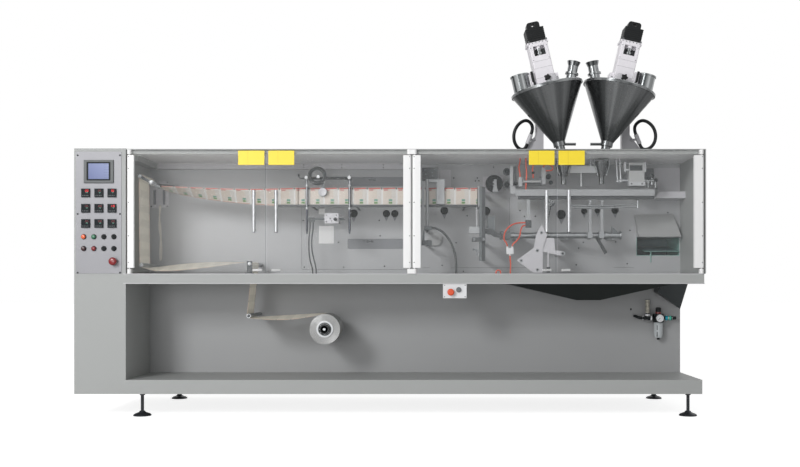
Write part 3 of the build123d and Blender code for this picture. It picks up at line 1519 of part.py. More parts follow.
def make_filler_post(side):
    """A post behind the hopper with a gusset, and the drive plate that lies on the lid."""
    x = filler_middle + side * filler_post_reach[side]
    half = filler_post_width / 2
    back = filler_post_front + filler_post_width
    post = block((x - half, x + half), (filler_post_front, back), (roof_top, roof_top + filler_post_top))
    above = Pos(0, 0, lid_thickness) * upright(4 * hopper_radius, 4 * hopper_radius, 2 * hopper_radius)
    near = drive_plate_width / 2
    far = max(near, (filler_post_reach[side] + half - filler_rim_reach) / cos(radians(filler_tilt)))
    plate = block((-near, near), (-gearbox_depth / 2, back - film_middle), (lid_thickness, gearbox_bottom))
    plate += block(sorted((0, side * far)), (drive_plate_ear, back - film_middle),
                   (lid_thickness, gearbox_bottom))
    body = post - filler_place(side) * above + filler_place(side) * plate
    edge = post_edge(side)
    outline = [(edge - side * px, roof_top + pz) for px, pz in post_gusset]
    body += front_plate(outline, (filler_post_front, filler_post_front + post_gusset_thickness))
    (x0, z0), (x1, z1) = ring_connector
    ends = [(edge - side * px, ring_connector_y, roof_top + pz) for px, pz in ((x0, z0), (x1, z1))]
    body += rod(ends[0], ends[1], ring_connector_radius)
    middle = [(a + b) / 2 for a, b in zip(*ends)]
    body += rod(middle, (edge - side * 2, filler_post_front + 8, middle[2]), ring_connector_pin)
    return body


def post_edge(side):
    """X of the side of a filler post that faces away from the other filler."""
    return filler_middle + side * (filler_post_reach[side] + filler_post_width / 2)


def make_ring_hose(side):
    """The hose that leaves a filler post's connector and loops back into its other end."""
    points = [(post_edge(side) + side * reach, ring_connector_y - front, roof_top + z)
              for (reach, z), front in zip(ring_hose, ring_hose_front)]
    return hose(points, ring_hose_radius)


def make_hoses():
    """The hoses and cables that the stations hold, and the coiled sensor cable."""
    hoses = [station_hose(sealer_hose, sealer_hose_radius)]
    hoses += [station_hose(route, coder_cable_radius) for route in coder_cables]
    hoses.append(station_hose(sensor_cable, sensor_cable_radius))
    x, z = coil_place
    y = film_middle + clamp_bar[1][0] - coil_section - coil_gap
    hoses.append(Pos(at(x), y, up(z)) * Rot(90, 0, 0) * Torus(coil_radius, coil_section))
    return hoses


def make_air_lines():
    """The orange air lines with their tee, caps and curls."""
    lines = [station_hose(air_stub, air_hose_radius)]
    lines.append(fuse([station(air_tee)] + [station_hose(route, air_hose_radius) for route in
                                            (air_loop, air_branch, air_drop)]))
    lines += [station_hose(route, air_hose_radius) for route in air_supply]
    lines.append(station_hose(air_curl, air_hose_radius))
    return lines


def build():
    """Write every sub-part to its own file."""
    os.makedirs("parts", exist_ok=True)
    save("base_plinth", make_base())
    save("levelling_feet", *make_feet())
    save("control_column", make_column())
    save("work_table", make_table())
    save("inner_walls", *make_inner_walls())
    save("rear_housing", make_rear_housing())
    save("rear_covers", *make_rear_covers())
    save("roof_cover", make_roof())
    save("end_panel", make_end_panel())
    save("door_post", make_post())
    save("pivot_blocks", *make_pivot_blocks())
    for number, (pin_x, side, meeting) in enumerate(doors, 1):
        save(f"door_trim_{number}", *make_door_trim(pin_x, side, meeting, strip_reaches[number - 1]))
        save(f"guard_panel_{number}", make_guard_sheet(pin_x, side, meeting))
        save(f"pull_handle_{number}", make_handle(side, meeting))
    save("control_panel", make_control_panel())
    save("operator_display", make_display())
    save("temperature_controllers", *make_controllers())
    save("push_buttons", *make_buttons())
    save("film_web", *make_film())
    save("guide_rollers", *make_rollers())
    save("film_former", make_former())
    save("film_guides", *make_film_guides())
    save("print_station", *make_print_station())
    save("side_sealer", make_side_sealer())
    save("knife_station", make_knife_station())
    save("handwheel", make_handwheel())
    save("pouch_opener", make_pouch_opener())
    save("transport_rail", make_transport_rail())
    save("gripper_drive", make_gripper_drive())
    save("cam_plates", *make_cam_plates())
    save("fill_funnels", make_funnels())
    save("valve_box", make_valve_box())
    save("wall_plates", *make_wall_plates())
    save("discharge_chute", *make_discharge())
    save("under_troughs", *make_troughs())
    save("switch_box", make_switch_box())
    save("air_service_unit", make_air_unit())
    save("film_roll", make_reel_roll())
    save("reel_hub", make_reel_hub())
    save("reel_shaft", make_reel_shaft())
    save("filler_hoppers", make_hopper(-1), make_hopper(1))
    save("hopper_lids", make_lid(-1), make_lid(1))
    save("filler_gearboxes", make_gearbox(-1), make_gearbox(1))
    save("filler_motors", make_motor(-1), make_motor(1))
    save("filler_posts", make_filler_post(-1), make_filler_post(1))
    save("machine_cables", *make_hoses())
    save("air_lines", *make_air_lines())
    save("roof_hoses", make_ring_hose(-1), make_ring_hose(1))


build()
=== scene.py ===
# %% [markdown]
# A horizontal pouch packaging machine. The rigid parts come packed from CAD and stay
# where they are. This file gives them their finishes, and adds what the CAD leaves out:
# the printed film, the hoses, the faces of dials and buttons, the plates on the clear
# doors and the small fasteners. All lengths are millimetres and become metres where a
# mesh is made, except those of the camera and the studio, which are metres.

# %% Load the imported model
import bpy
import bmesh
import math
import numpy as np
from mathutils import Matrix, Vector


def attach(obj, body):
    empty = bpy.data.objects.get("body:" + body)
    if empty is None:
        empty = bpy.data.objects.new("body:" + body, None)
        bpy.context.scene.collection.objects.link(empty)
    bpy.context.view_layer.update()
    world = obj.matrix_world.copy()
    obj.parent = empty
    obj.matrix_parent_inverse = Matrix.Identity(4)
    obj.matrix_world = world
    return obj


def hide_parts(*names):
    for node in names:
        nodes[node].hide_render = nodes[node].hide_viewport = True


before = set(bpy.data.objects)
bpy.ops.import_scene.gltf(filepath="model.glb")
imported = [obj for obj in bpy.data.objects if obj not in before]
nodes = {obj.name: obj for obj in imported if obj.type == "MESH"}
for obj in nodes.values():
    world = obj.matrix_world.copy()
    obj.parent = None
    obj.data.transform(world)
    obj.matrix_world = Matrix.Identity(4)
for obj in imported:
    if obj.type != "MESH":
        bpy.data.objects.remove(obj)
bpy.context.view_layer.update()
MM = 0.001

# %% [markdown]
# The photograph was taken level and square to the doors, from the height of the work
# table, so the camera looks straight along +Y. The object isn't in the middle of the
# picture, and a small lens shift gives that without turning the camera.

# %% Camera
camera_data = bpy.data.cameras.new("camera")
camera = bpy.data.objects.new("camera", camera_data)
bpy.context.scene.collection.objects.link(camera)
camera.location = (0.2033, -5.918, 0.7476)
camera.rotation_euler = (math.radians(90), 0, 0)
camera_data.lens = 43.7
camera_data.sensor_width = 36.0
camera_data.shift_x = -0.0329
camera_data.shift_y = 0.0631
bpy.context.scene.camera = camera

# %% [markdown]
# Places inside the machine are given from three lines that the CAD shares: the left side
# of the middle post in X, the middle of the film in Y and the top of the table in Z. The
# faces are places in Y: the cabinet's front, its control panel and the doors' sheets. AIR
# is the middle of the filter regulator on the wall under the table.

# %% Reference lines
POST, FILM, TABLE = 98.0, -250.0, 806.0
NICHE_TOP, ROOF = 748.0, 1504.0
COLUMN_LEFT, INNER_LEFT, RIGHT = -1770.0, -1480.0, 1750.0
FRONT, PANEL_FACE, DOOR_FACE = -480.0, -483.0, -482.0
REEL_X, REEL_Z = POST - 476, NICHE_TOP - 259
AIR = np.array((RIGHT - 144, -45, NICHE_TOP - 206))
DOORS = (1, 2, 3, 4)


def station(points):
    """Points given from the post, the film and the table, as points of the machine."""
    return np.asarray(points, float) + (POST, FILM, TABLE)


# %% [markdown]
# Every shape below is a grid of points worked out with numpy: rows along one parameter,
# columns along the other. A few helpers turn such grids into meshes. A mesh is welded and
# its faces are turned outwards before it is shown, so a closed shape has no seam.

# %% Mesh helpers
def grid(points, closed=False):
    """Points (rows, columns, 3) as corners and quads; closed joins the last column to the first."""
    rows, cols = points.shape[:2]
    index = np.arange(rows * cols).reshape(rows, cols)
    nxt = np.roll(index, -1, axis=1) if closed else index[:, 1:]
    here = index if closed else index[:, :-1]
    quads = np.stack([here[:-1], nxt[:-1], nxt[1:], here[1:]], -1).reshape(-1, 4)
    return points.reshape(-1, 3), quads.tolist()


def capped(points):
    """A closed grid whose first and last rows are filled with one face each."""
    corners, faces = grid(points, closed=True)
    rows, cols = points.shape[:2]
    last = (rows - 1) * cols
    return corners, faces + [list(range(cols))[::-1], [last + i for i in range(cols)]]


def merged(shapes):
    """Several shapes as one list of corners and faces."""
    corners, faces, start = [], [], 0
    for points, polygons in shapes:
        corners.append(points)
        faces += [[start + i for i in polygon] for polygon in polygons]
        start += len(points)
    return np.concatenate(corners), faces


def turned_to(axis):
    """Three unit vectors, as rows, of which the last is the axis."""
    w = np.asarray(axis, float)
    w = w / np.linalg.norm(w)
    helper = (0, 0, 1) if abs(w[2]) < 0.9 else (1, 0, 0)
    u = np.cross(helper, w)
    u = u / np.linalg.norm(u)
    return np.stack([u, np.cross(w, u), w])


def lathe(profile, at, axis=(0, 0, 1), sides=32):
    """A body of revolution: each profile row (radius, height) is a ring round the axis."""
    profile = np.asarray(profile, float)
    angle = np.linspace(0, 2 * np.pi, sides, endpoint=False)
    ring = np.stack([np.cos(angle), np.sin(angle)], -1)
    flat = profile[:, None, 0:1] * ring[None]
    height = np.broadcast_to(profile[:, None, 1:2], flat.shape[:2] + (1,))
    points = np.concatenate([flat, height], -1) @ turned_to(axis) + np.asarray(at, float)
    return capped(points)


def turned(profile, at, sides=32):
    """A body of revolution on a face that looks at the doors."""
    return lathe(profile, at, axis=(0, -1, 0), sides=sides)


def rounded(width, depth, corner, steps=4):
    """The outline of a rectangle with round corners, anticlockwise."""
    a, b = width / 2 - corner, depth / 2 - corner
    t = np.linspace(0, np.pi / 2, steps + 1)
    arc = corner * np.stack([np.cos(t), np.sin(t)], -1)
    turns = []
    for sx, sy, k in ((1, 1, 0), (-1, 1, 1), (-1, -1, 2), (1, -1, 3)):
        c, s = math.cos(k * np.pi / 2), math.sin(k * np.pi / 2)
        turns.append(arc @ np.array([[c, s], [-s, c]]) + (sx * a, sy * b))
    return np.concatenate(turns)


def slab(width, depth, height, at, corner=2.0, edge=0.8):
    """A block with round upright corners and eased rims, standing on `at`."""
    levels = [(edge, 0), (0, edge), (0, height - edge), (edge, height)]
    rows = []
    for inset, z in levels:
        outline = rounded(width - 2 * inset, depth - 2 * inset, max(corner - inset, 0.05))
        rows.append(np.column_stack([outline, np.full(len(outline), z)]))
    return capped(np.stack(rows) + np.asarray(at, float))


def plate(width, height, thickness, at, corner=2.0, edge=0.8):
    """The same block on a face that looks at the doors, with the middle of its back at `at`."""
    points, faces = slab(width, height, thickness, (0, 0, 0), corner, edge)
    x, y, z = points.T
    return np.stack([x, -z, y], -1) + np.asarray(at, float), faces


def tube(path, radius, sides=10):
    """A round tube along points: each ring is square to the path there."""
    path = np.asarray(path, float)
    along = np.gradient(path, axis=0)
    along /= np.linalg.norm(along, axis=1, keepdims=True)
    side = np.cross(along, (0.03, 1.0, 0.02))
    side /= np.linalg.norm(side, axis=1, keepdims=True)
    up = np.cross(side, along)
    angle = np.linspace(0, 2 * np.pi, sides, endpoint=False)[None, :, None]
    rings = path[:, None] + radius * (np.cos(angle) * side[:, None] + np.sin(angle) * up[:, None])
    return capped(rings)


# Edges sharper than CREASE stay sharp in the shading. Corners nearer than WELD metres are
# joined, and faces with an edge shorter than FLAT metres go.
CREASE, WELD, FLAT = math.radians(35), 1e-6, 1e-7


def piece(name, shape, finish, body="cabinet", slot="steel", smooth=True, uv=None):
    """A finished mesh object from corners in millimetres, riding on a body."""
    points, faces = shape
    mesh = bpy.data.meshes.new(name)
    mesh.from_pydata((points * MM).tolist(), [], faces)
    if uv is not None:
        layer = mesh.uv_layers.new(name="print")
        loops = np.array([loop.vertex_index for loop in mesh.loops])
        layer.data.foreach_set("uv", uv[loops].ravel())
    build = bmesh.new()
    build.from_mesh(mesh)
    bmesh.ops.remove_doubles(build, verts=build.verts, dist=WELD)
    bmesh.ops.dissolve_degenerate(build, edges=build.edges, dist=FLAT)
    bmesh.ops.recalc_face_normals(build, faces=build.faces)
    build.to_mesh(mesh)
    build.free()
    if smooth:
        mesh.shade_smooth()
        mesh.set_sharp_from_angle(angle=CREASE)
    mesh.materials.append(finish)
    thing = bpy.data.objects.new(name, mesh)
    bpy.context.scene.collection.objects.link(thing)
    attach(thing, body)
    return thing


# %% [markdown]
# Colours are written as they look on a screen, in sRGB hex. Blender's sockets want linear
# light, so one function converts them. A second small function adds a shader node with its
# settings and links, and every finish below is made from it. Its inner part also sets the
# sockets of a node that is there already, such as a finish's shader.

# %% Colour and node helpers
def srgb(hex_code):
    """A hex colour as linear red, green, blue and alpha."""
    value = np.array([int(hex_code[i:i + 2], 16) for i in (0, 2, 4)]) / 255
    linear = np.where(value <= 0.04045, value / 12.92, ((value + 0.055) / 1.055) ** 2.4)
    return (*linear.tolist(), 1.0)


def plug(tree, node, sockets):
    """Give each socket of a node a number, a colour or another node's output."""
    for name, value in sockets.items():
        if isinstance(value, bpy.types.NodeSocket):
            tree.links.new(value, node.inputs[name])
        else:
            node.inputs[name].default_value = value


def add(tree, kind, sockets=None, **settings):
    """A node of one kind with its settings, and with its sockets filled."""
    node = tree.nodes.new(kind)
    for name, value in settings.items():
        setattr(node, name, value)
    plug(tree, node, sockets or {})
    return node


def new_finish(name):
    """An empty material with its node tree, its principled shader and object coordinates."""
    material = bpy.data.materials.new(name)
    material.use_nodes = True
    tree = material.node_tree
    tree.nodes.clear()
    shader = add(tree, "ShaderNodeBsdfPrincipled")
    add(tree, "ShaderNodeOutputMaterial", {"Surface": shader.outputs[0]})
    place = add(tree, "ShaderNodeTexCoord").outputs["Object"]
    return material, tree, shader, place


# How far the gloss moves either way, and the height of the relief in mm.
SWING, RELIEF_DEPTH = 0.06, 0.1


def surface(name, colour, roughness, metallic=0.0, grain=3.0, stretch=(1, 1, 1), tint=0.04,
            relief=0.05, **constants):
    """A worked surface: noise at a real grain size in mm moves colour, gloss and height.

    stretch makes the grain longer along an axis, as brushing does; tint is how far the
    colour moves, and relief how strong the height shows. The constants are more sockets of
    the shader.
    """
    material, tree, shader, place = new_finish(name)
    scale = [1 / (grain * MM * s) for s in stretch]
    fitted = add(tree, "ShaderNodeMapping", {"Vector": place, "Scale": scale})
    noise = add(tree, "ShaderNodeTexNoise", {"Vector": fitted.outputs[0], "Scale": 1.0,
                                             "Detail": 3.0, "Roughness": 0.6})
    cloud = add(tree, "ShaderNodeTexNoise", {"Vector": place, "Scale": 2.2, "Detail": 2.0})
    mixed = add(tree, "ShaderNodeMath", {0: noise.outputs["Fac"], 1: cloud.outputs["Fac"]},
                operation="ADD")
    shade = add(tree, "ShaderNodeMapRange", {"Value": mixed.outputs[0], "From Min": 0.7,
                                             "From Max": 1.3})
    base = np.array(srgb(colour)[:3])
    dark, light = base * (1 - tint), np.minimum(base * (1 + tint), 1.0)
    blend = add(tree, "ShaderNodeMix", {"Factor": shade.outputs[0], "A": (*dark, 1),
                                        "B": (*light, 1)}, data_type="RGBA")
    gloss = add(tree, "ShaderNodeMapRange", {"Value": noise.outputs["Fac"], "From Min": 0.3,
                                             "From Max": 0.7, "To Min": roughness - SWING,
                                             "To Max": roughness + SWING})
    bump = add(tree, "ShaderNodeBump", {"Height": noise.outputs["Fac"], "Strength": relief,
                                        "Distance": RELIEF_DEPTH * MM})
    plug(tree, shader, {"Base Color": blend.outputs["Result"], "Roughness": gloss.outputs[0],
                        "Normal": bump.outputs[0], "Metallic": metallic})
    plug(tree, shader, {name.replace("_", " "): value for name, value in constants.items()})
    return material


# %% [markdown]
# The cabinet is folded sheet steel with a satin powder coat. Up close a powder coat has a
# fine orange peel, about a millimetre between its humps; from here it only breaks up the
# gloss a little. The walls inside wear an enamel that is a little paler and smoother.

# %% Paints
body_paint = surface("powder_coated_steel", "A9ABAA", 0.50, grain=2.4, tint=0.015, relief=0.12,
                     Specular_IOR_Level=0.25)
wall_paint = surface("inside_enamel", "B5B6B8", 0.36, grain=2.4, tint=0.02, relief=0.10,
                     Specular_IOR_Level=0.4)
# Painted shade: the next three are darker colours for recesses, for the lower wall under the table
# and for deep hollows that the lamps barely reach.
bay_shade = surface("inside_enamel_in_shade", "84868A", 0.40, grain=2.4, tint=0.04)
niche_painted_shade = surface("lower_wall_painted_shade", "9B9C9D", 0.40, grain=2.4, tint=0.02, relief=0.10)
hollow_dark = surface("unlit_hollow", "3E4141", 0.60, grain=3.0, tint=0.15, Specular_IOR_Level=0.2)
plate_paint = surface("pale_cover_enamel", "C9C8CC", 0.36, grain=2.4, tint=0.02)
white_paint = surface("white_lacquer", "F2F2F2", 0.38, grain=2.0, tint=0.01, relief=0.08)
drive_white = surface("cast_white_lacquer", "EEEBF0", 0.42, grain=2.2, tint=0.012, relief=0.25)
motor_black = surface("cast_black_lacquer", "17191A", 0.45, grain=1.6, tint=0.12, relief=0.5,
                      Specular_IOR_Level=0.25)
foot_paint = surface("blackened_steel", "34363A", 0.38, metallic=0.5, grain=2.0, tint=0.1)
teal_paint = surface("teal_enamel", "82AEA5", 0.35, grain=2.4, tint=0.03, relief=0.1)
# Painted shade: the teal chute where it runs into the wall opening is a darker slate.
chute_painted_shade = surface("chute_enamel_painted_shade", "6A7F83", 0.28, grain=2.4, tint=0.08)
hood_paint = surface("hood_enamel", "ACADAD", 0.34, grain=2.4, tint=0.03)
dark_enamel = surface("dark_grey_enamel", "3C4143", 0.4, grain=2.0, tint=0.08)
# Painted shade: the troughs under the table are near black, for the shade they lie in.
trough_painted_shade = surface("trough_painted_shade_finish", "1F2322", 0.5, grain=2.0, tint=0.1,
                       Specular_IOR_Level=0.3)

# %% [markdown]
# Bare metals next. The panel plate is stainless steel brushed along its width, so its grain
# is stretched along X; the hoppers are rolled and polished round and carry painted
# reflections in soft bands; rods are ground.

# %% Metals
panel_steel = surface("brushed_stainless_plate", "8E8E92", 0.46, metallic=0.25, grain=1.4,
                      stretch=(22, 1, 1), tint=0.06, relief=0.05)
ground_steel = surface("ground_plated_steel", "A3A6A8", 0.30, metallic=0.85, grain=2.5,
                       stretch=(1, 1, 5), tint=0.10)
grey_steel = surface("grey_zinc_steel", "6A6E70", 0.42, metallic=0.35, grain=2.5, tint=0.08)
blued_steel = surface("blued_bar_steel", "4B4E57", 0.40, metallic=0.3, grain=3.0, stretch=(1, 1, 6),
                      tint=0.12)
shaded_steel = surface("oiled_dark_steel", "4B4E50", 0.45, metallic=0.15, grain=3.0, tint=0.15)
pale_steel = surface("pale_milled_steel", "A3A5A7", 0.36, metallic=0.4, grain=1.8,
                     stretch=(1, 1, 6), tint=0.06)


def reflection_banded_steel(name, dark, light, roughness, bands):
    """Polished steel rolled round, with painted reflections: soft dark and light bands along the
    lines on which the normal is constant.

    The normal takes the place of the point in the noise, so on a cone or a tube each band
    runs straight from end to end, as the reflections of a room do in polished round steel.
    """
    material, tree, shader, place = new_finish(name)
    normal = add(tree, "ShaderNodeNewGeometry").outputs["Normal"]
    noise = add(tree, "ShaderNodeTexNoise", {"Vector": normal, "Scale": bands, "Detail": 3.0,
                                             "Roughness": 0.55})
    shade = add(tree, "ShaderNodeMapRange", {"Value": noise.outputs["Fac"], "From Min": 0.36,
                                             "From Max": 0.66})
    blend = add(tree, "ShaderNodeMix", {"Factor": shade.outputs[0], "A": srgb(dark),
                                        "B": srgb(light)}, data_type="RGBA")
    fine = add(tree, "ShaderNodeTexNoise", {"Vector": place, "Scale": 260.0, "Detail": 2.0})
    gloss = add(tree, "ShaderNodeMapRange", {"Value": fine.outputs["Fac"], "From Min": 0.3,
                                             "From Max": 0.7, "To Min": roughness - 0.04,
                                             "To Max": roughness + 0.04})
    plug(tree, shader, {"Base Color": blend.outputs["Result"], "Roughness": gloss.outputs[0],
                        "Metallic": 0.95})
    return material


hopper_steel = reflection_banded_steel("polished_stainless_cone", "505253", "8C8E8F", 0.26, 2.6)
bright_steel = reflection_banded_steel("bright_stainless_tube", "4A4D4E", "C4C7C8", 0.20, 2.2)
light_alloy = surface("machined_aluminium", "B7B9BB", 0.36, metallic=0.5, grain=1.6,
                      stretch=(9, 1, 1), tint=0.05)
handle_alloy = surface("satin_chrome_bar", "B8BABC", 0.28, metallic=0.65, grain=1.4,
                       stretch=(1, 1, 16), tint=0.04)

# %% [markdown]
# Plastics and rubber, and a few small metal parts: moulded housings, coloured lenses with
# a clear coat, screws, and the hoses and cables.

# %% Plastics and small parts
black_plastic = surface("moulded_black_plastic", "1B1F21", 0.42, grain=1.2, tint=0.12, relief=0.3,
                        Specular_IOR_Level=0.2)
window_black = surface("tinted_black_window", "131A1E", 0.30, grain=1.2, tint=0.08,
                       Specular_IOR_Level=0.12)
bowl_plastic = surface("smoked_grey_bowl", "B4B9BB", 0.25, grain=2.0, tint=0.05)
teal_plastic = surface("teal_moulding", "1FA3B8", 0.35, grain=2.0, tint=0.05)
green_plastic = surface("green_moulding", "4FC0A8", 0.35, grain=2.0, tint=0.05)
cream_metal = surface("sintered_silencer", "D0CCBE", 0.45, metallic=0.4, grain=1.2, tint=0.2,
                      relief=0.8)
screw_black = surface("blackened_screw", "2C2F31", 0.42, metallic=0.1, grain=1.0, tint=0.15)
screw_zinc = surface("zinc_screw", "8A8D8F", 0.32, metallic=0.7, grain=1.0, tint=0.15)
joint_line = surface("sheet_joint_gap", "686B6C", 0.6, grain=2.0, tint=0.1)
grey_plastic = surface("moulded_grey_plastic", "55595A", 0.45, grain=1.2, tint=0.06, relief=0.3)
white_plastic = surface("moulded_white_plastic", "E2E3E5", 0.32, grain=1.6, tint=0.02)
orange_lens = surface("orange_lens", "E4602A", 0.18, grain=4.0, tint=0.12, Coat_Weight=0.6)
green_lens = surface("green_lens", "1C6B4A", 0.18, grain=4.0, tint=0.12, Coat_Weight=0.6)
maroon_cap = surface("maroon_cap", "3A1518", 0.25, grain=4.0, tint=0.1, Coat_Weight=0.4)
red_cap = surface("red_cap", "7E1418", 0.25, grain=4.0, tint=0.1, Coat_Weight=0.4)
stop_red = surface("mushroom_red", "84161B", 0.28, grain=4.0, tint=0.06, Coat_Weight=0.4)
mushroom_orange = surface("mushroom_orange", "E0552F", 0.30, grain=4.0, tint=0.05)
orange_tube = surface("orange_air_tube", "E0593B", 0.30, grain=3.0, tint=0.05)
black_rubber = surface("black_rubber", "222426", 0.48, grain=2.0, tint=0.15, relief=0.2,
                       Specular_IOR_Level=0.3)
grey_cable = surface("grey_cable_sheath", "4A4D4E", 0.42, grain=2.0, tint=0.12)
hose_grey = surface("grey_ribbed_hose", "4F5253", 0.42, grain=2.0, tint=0.12)
yellow_plate = surface("yellow_sign_plate", "FBE038", 0.35, grain=3.0, tint=0.01)

# %% [markdown]
# The doors are clear acrylic. A clear sheet is mostly seen by what it veils, so the shader
# is a pale gloss at a low alpha: the stations behind stay visible, and the sheet still
# catches the light. Refraction would bend nothing here, and would darken the inside.

# %% Acrylic
acrylic, tree, shader, place = new_finish("clear_acrylic_sheet")
haze = add(tree, "ShaderNodeTexNoise", {"Vector": place, "Scale": 3.0, "Detail": 2.0})
clean = add(tree, "ShaderNodeMapRange", {"Value": haze.outputs["Fac"], "To Min": 0.04,
                                         "To Max": 0.09})
plug(tree, shader, {"Base Color": srgb("D8DCDD"), "Roughness": clean.outputs[0],
                    "Alpha": 0.038})
# Painted shadow for the dark strip where two doors meet.
door_edge_shadow = surface("door_edge_painted_shadow", "6E7678", 0.25, grain=2.0, tint=0.05)

# %% [markdown]
# Each CAD node keeps its mesh and takes its finish here.

# %% Finishes for the CAD nodes
FINISH_OF = {
    body_paint: ["base_plinth", "control_column", "work_table", "rear_covers", "roof_cover",
                 "end_panel", "door_post"],
    wall_paint: ["inner_walls", "rear_housing", "wall_plates"],
    white_paint: ["pivot_blocks", *[f"door_trim_{door}" for door in DOORS]],
    foot_paint: ["levelling_feet"],
    panel_steel: ["control_panel"],
    grey_plastic: ["operator_display"],
    black_plastic: ["handwheel", "air_service_unit"],
    window_black: ["temperature_controllers"],
    handle_alloy: [f"pull_handle_{door}" for door in DOORS],
    ground_steel: ["guide_rollers", "reel_shaft", "gripper_drive"],
    shaded_steel: ["film_guides", "knife_station"],
    grey_steel: ["print_station"],
    pale_steel: ["side_sealer", "transport_rail", "pouch_opener"],
    plate_paint: ["cam_plates", "filler_posts"],
    hopper_steel: ["filler_hoppers"],
    bright_steel: ["hopper_lids"],
    drive_white: ["filler_gearboxes"],
    motor_black: ["filler_motors"],
    teal_paint: ["discharge_chute"],
    white_plastic: ["switch_box"],
    light_alloy: ["valve_box", "fill_funnels", "reel_hub"],
    dark_enamel: ["film_former"],
    trough_painted_shade: ["under_troughs"],
    acrylic: [f"guard_panel_{door}" for door in DOORS],
    black_rubber: ["machine_cables", "roof_hoses"],
    orange_tube: ["air_lines"],
}
CAD_CREASE = math.radians(30)


def dress(name, finish):
    """Give a CAD node one material and crisp shading."""
    mesh = nodes[name].data
    mesh.materials.clear()
    mesh.materials.append(finish)
    mesh.shade_smooth()
    mesh.set_sharp_from_angle(angle=CAD_CREASE)


for finish, names in FINISH_OF.items():
    for name in names:
        dress(name, finish)
print("nodes without a finish:", sorted(set(nodes) - {n for v in FINISH_OF.values() for n in v}))

# %% [markdown]
# One CAD node can hold parts with different finishes, such as a bright blade between dark
# bars. Its mesh stays as it is, and a face only gets another material number when all its
# corners lie in a box. The boxes repeat the sizes that the CAD gives to those parts, with
# a little room on every side.

# %% Finishes by region
BOX_ROOM = 0.6


def paint(name, finish, x, y, z, facing=None):
    """Give the faces of a CAD node inside a box (mm) another finish, and say how many.

    With facing, only faces that look within 60 degrees of that way count.
    """
    mesh = nodes[name].data
    corners = np.empty(len(mesh.vertices) * 3)
    mesh.vertices.foreach_get("co", corners)
    corners = corners.reshape(-1, 3) / MM
    limits = np.array([sorted(x), sorted(y), sorted(z)])
    inside = np.all((corners > limits[:, 0] - BOX_ROOM) & (corners < limits[:, 1] + BOX_ROOM), axis=1)
    starts, counts = (np.empty(len(mesh.polygons), int) for _ in range(2))
    mesh.polygons.foreach_get("loop_start", starts)
    mesh.polygons.foreach_get("loop_total", counts)
    loops = np.empty(len(mesh.loops), int)
    mesh.loops.foreach_get("vertex_index", loops)
    chosen = np.add.reduceat(inside[loops].astype(int), starts) == counts
    if facing is not None:
        normals = np.empty(len(mesh.polygons) * 3)
        mesh.polygons.foreach_get("normal", normals)
        chosen &= normals.reshape(-1, 3) @ np.asarray(facing, float) > 0.5
    if finish.name not in mesh.materials:
        mesh.materials.append(finish)
    numbers = np.empty(len(mesh.polygons), int)
    mesh.polygons.foreach_get("material_index", numbers)
    numbers[chosen] = mesh.materials.find(finish.name)
    mesh.polygons.foreach_set("material_index", numbers)
    return int(chosen.sum())


def paint_station(name, finish, x, y, z):
    """The same with the box given from the post, the film and the table."""
    shift = (POST, FILM, TABLE)
    return paint(name, finish, *[[v + d for v in span] for span, d in zip((x, y, z), shift)])


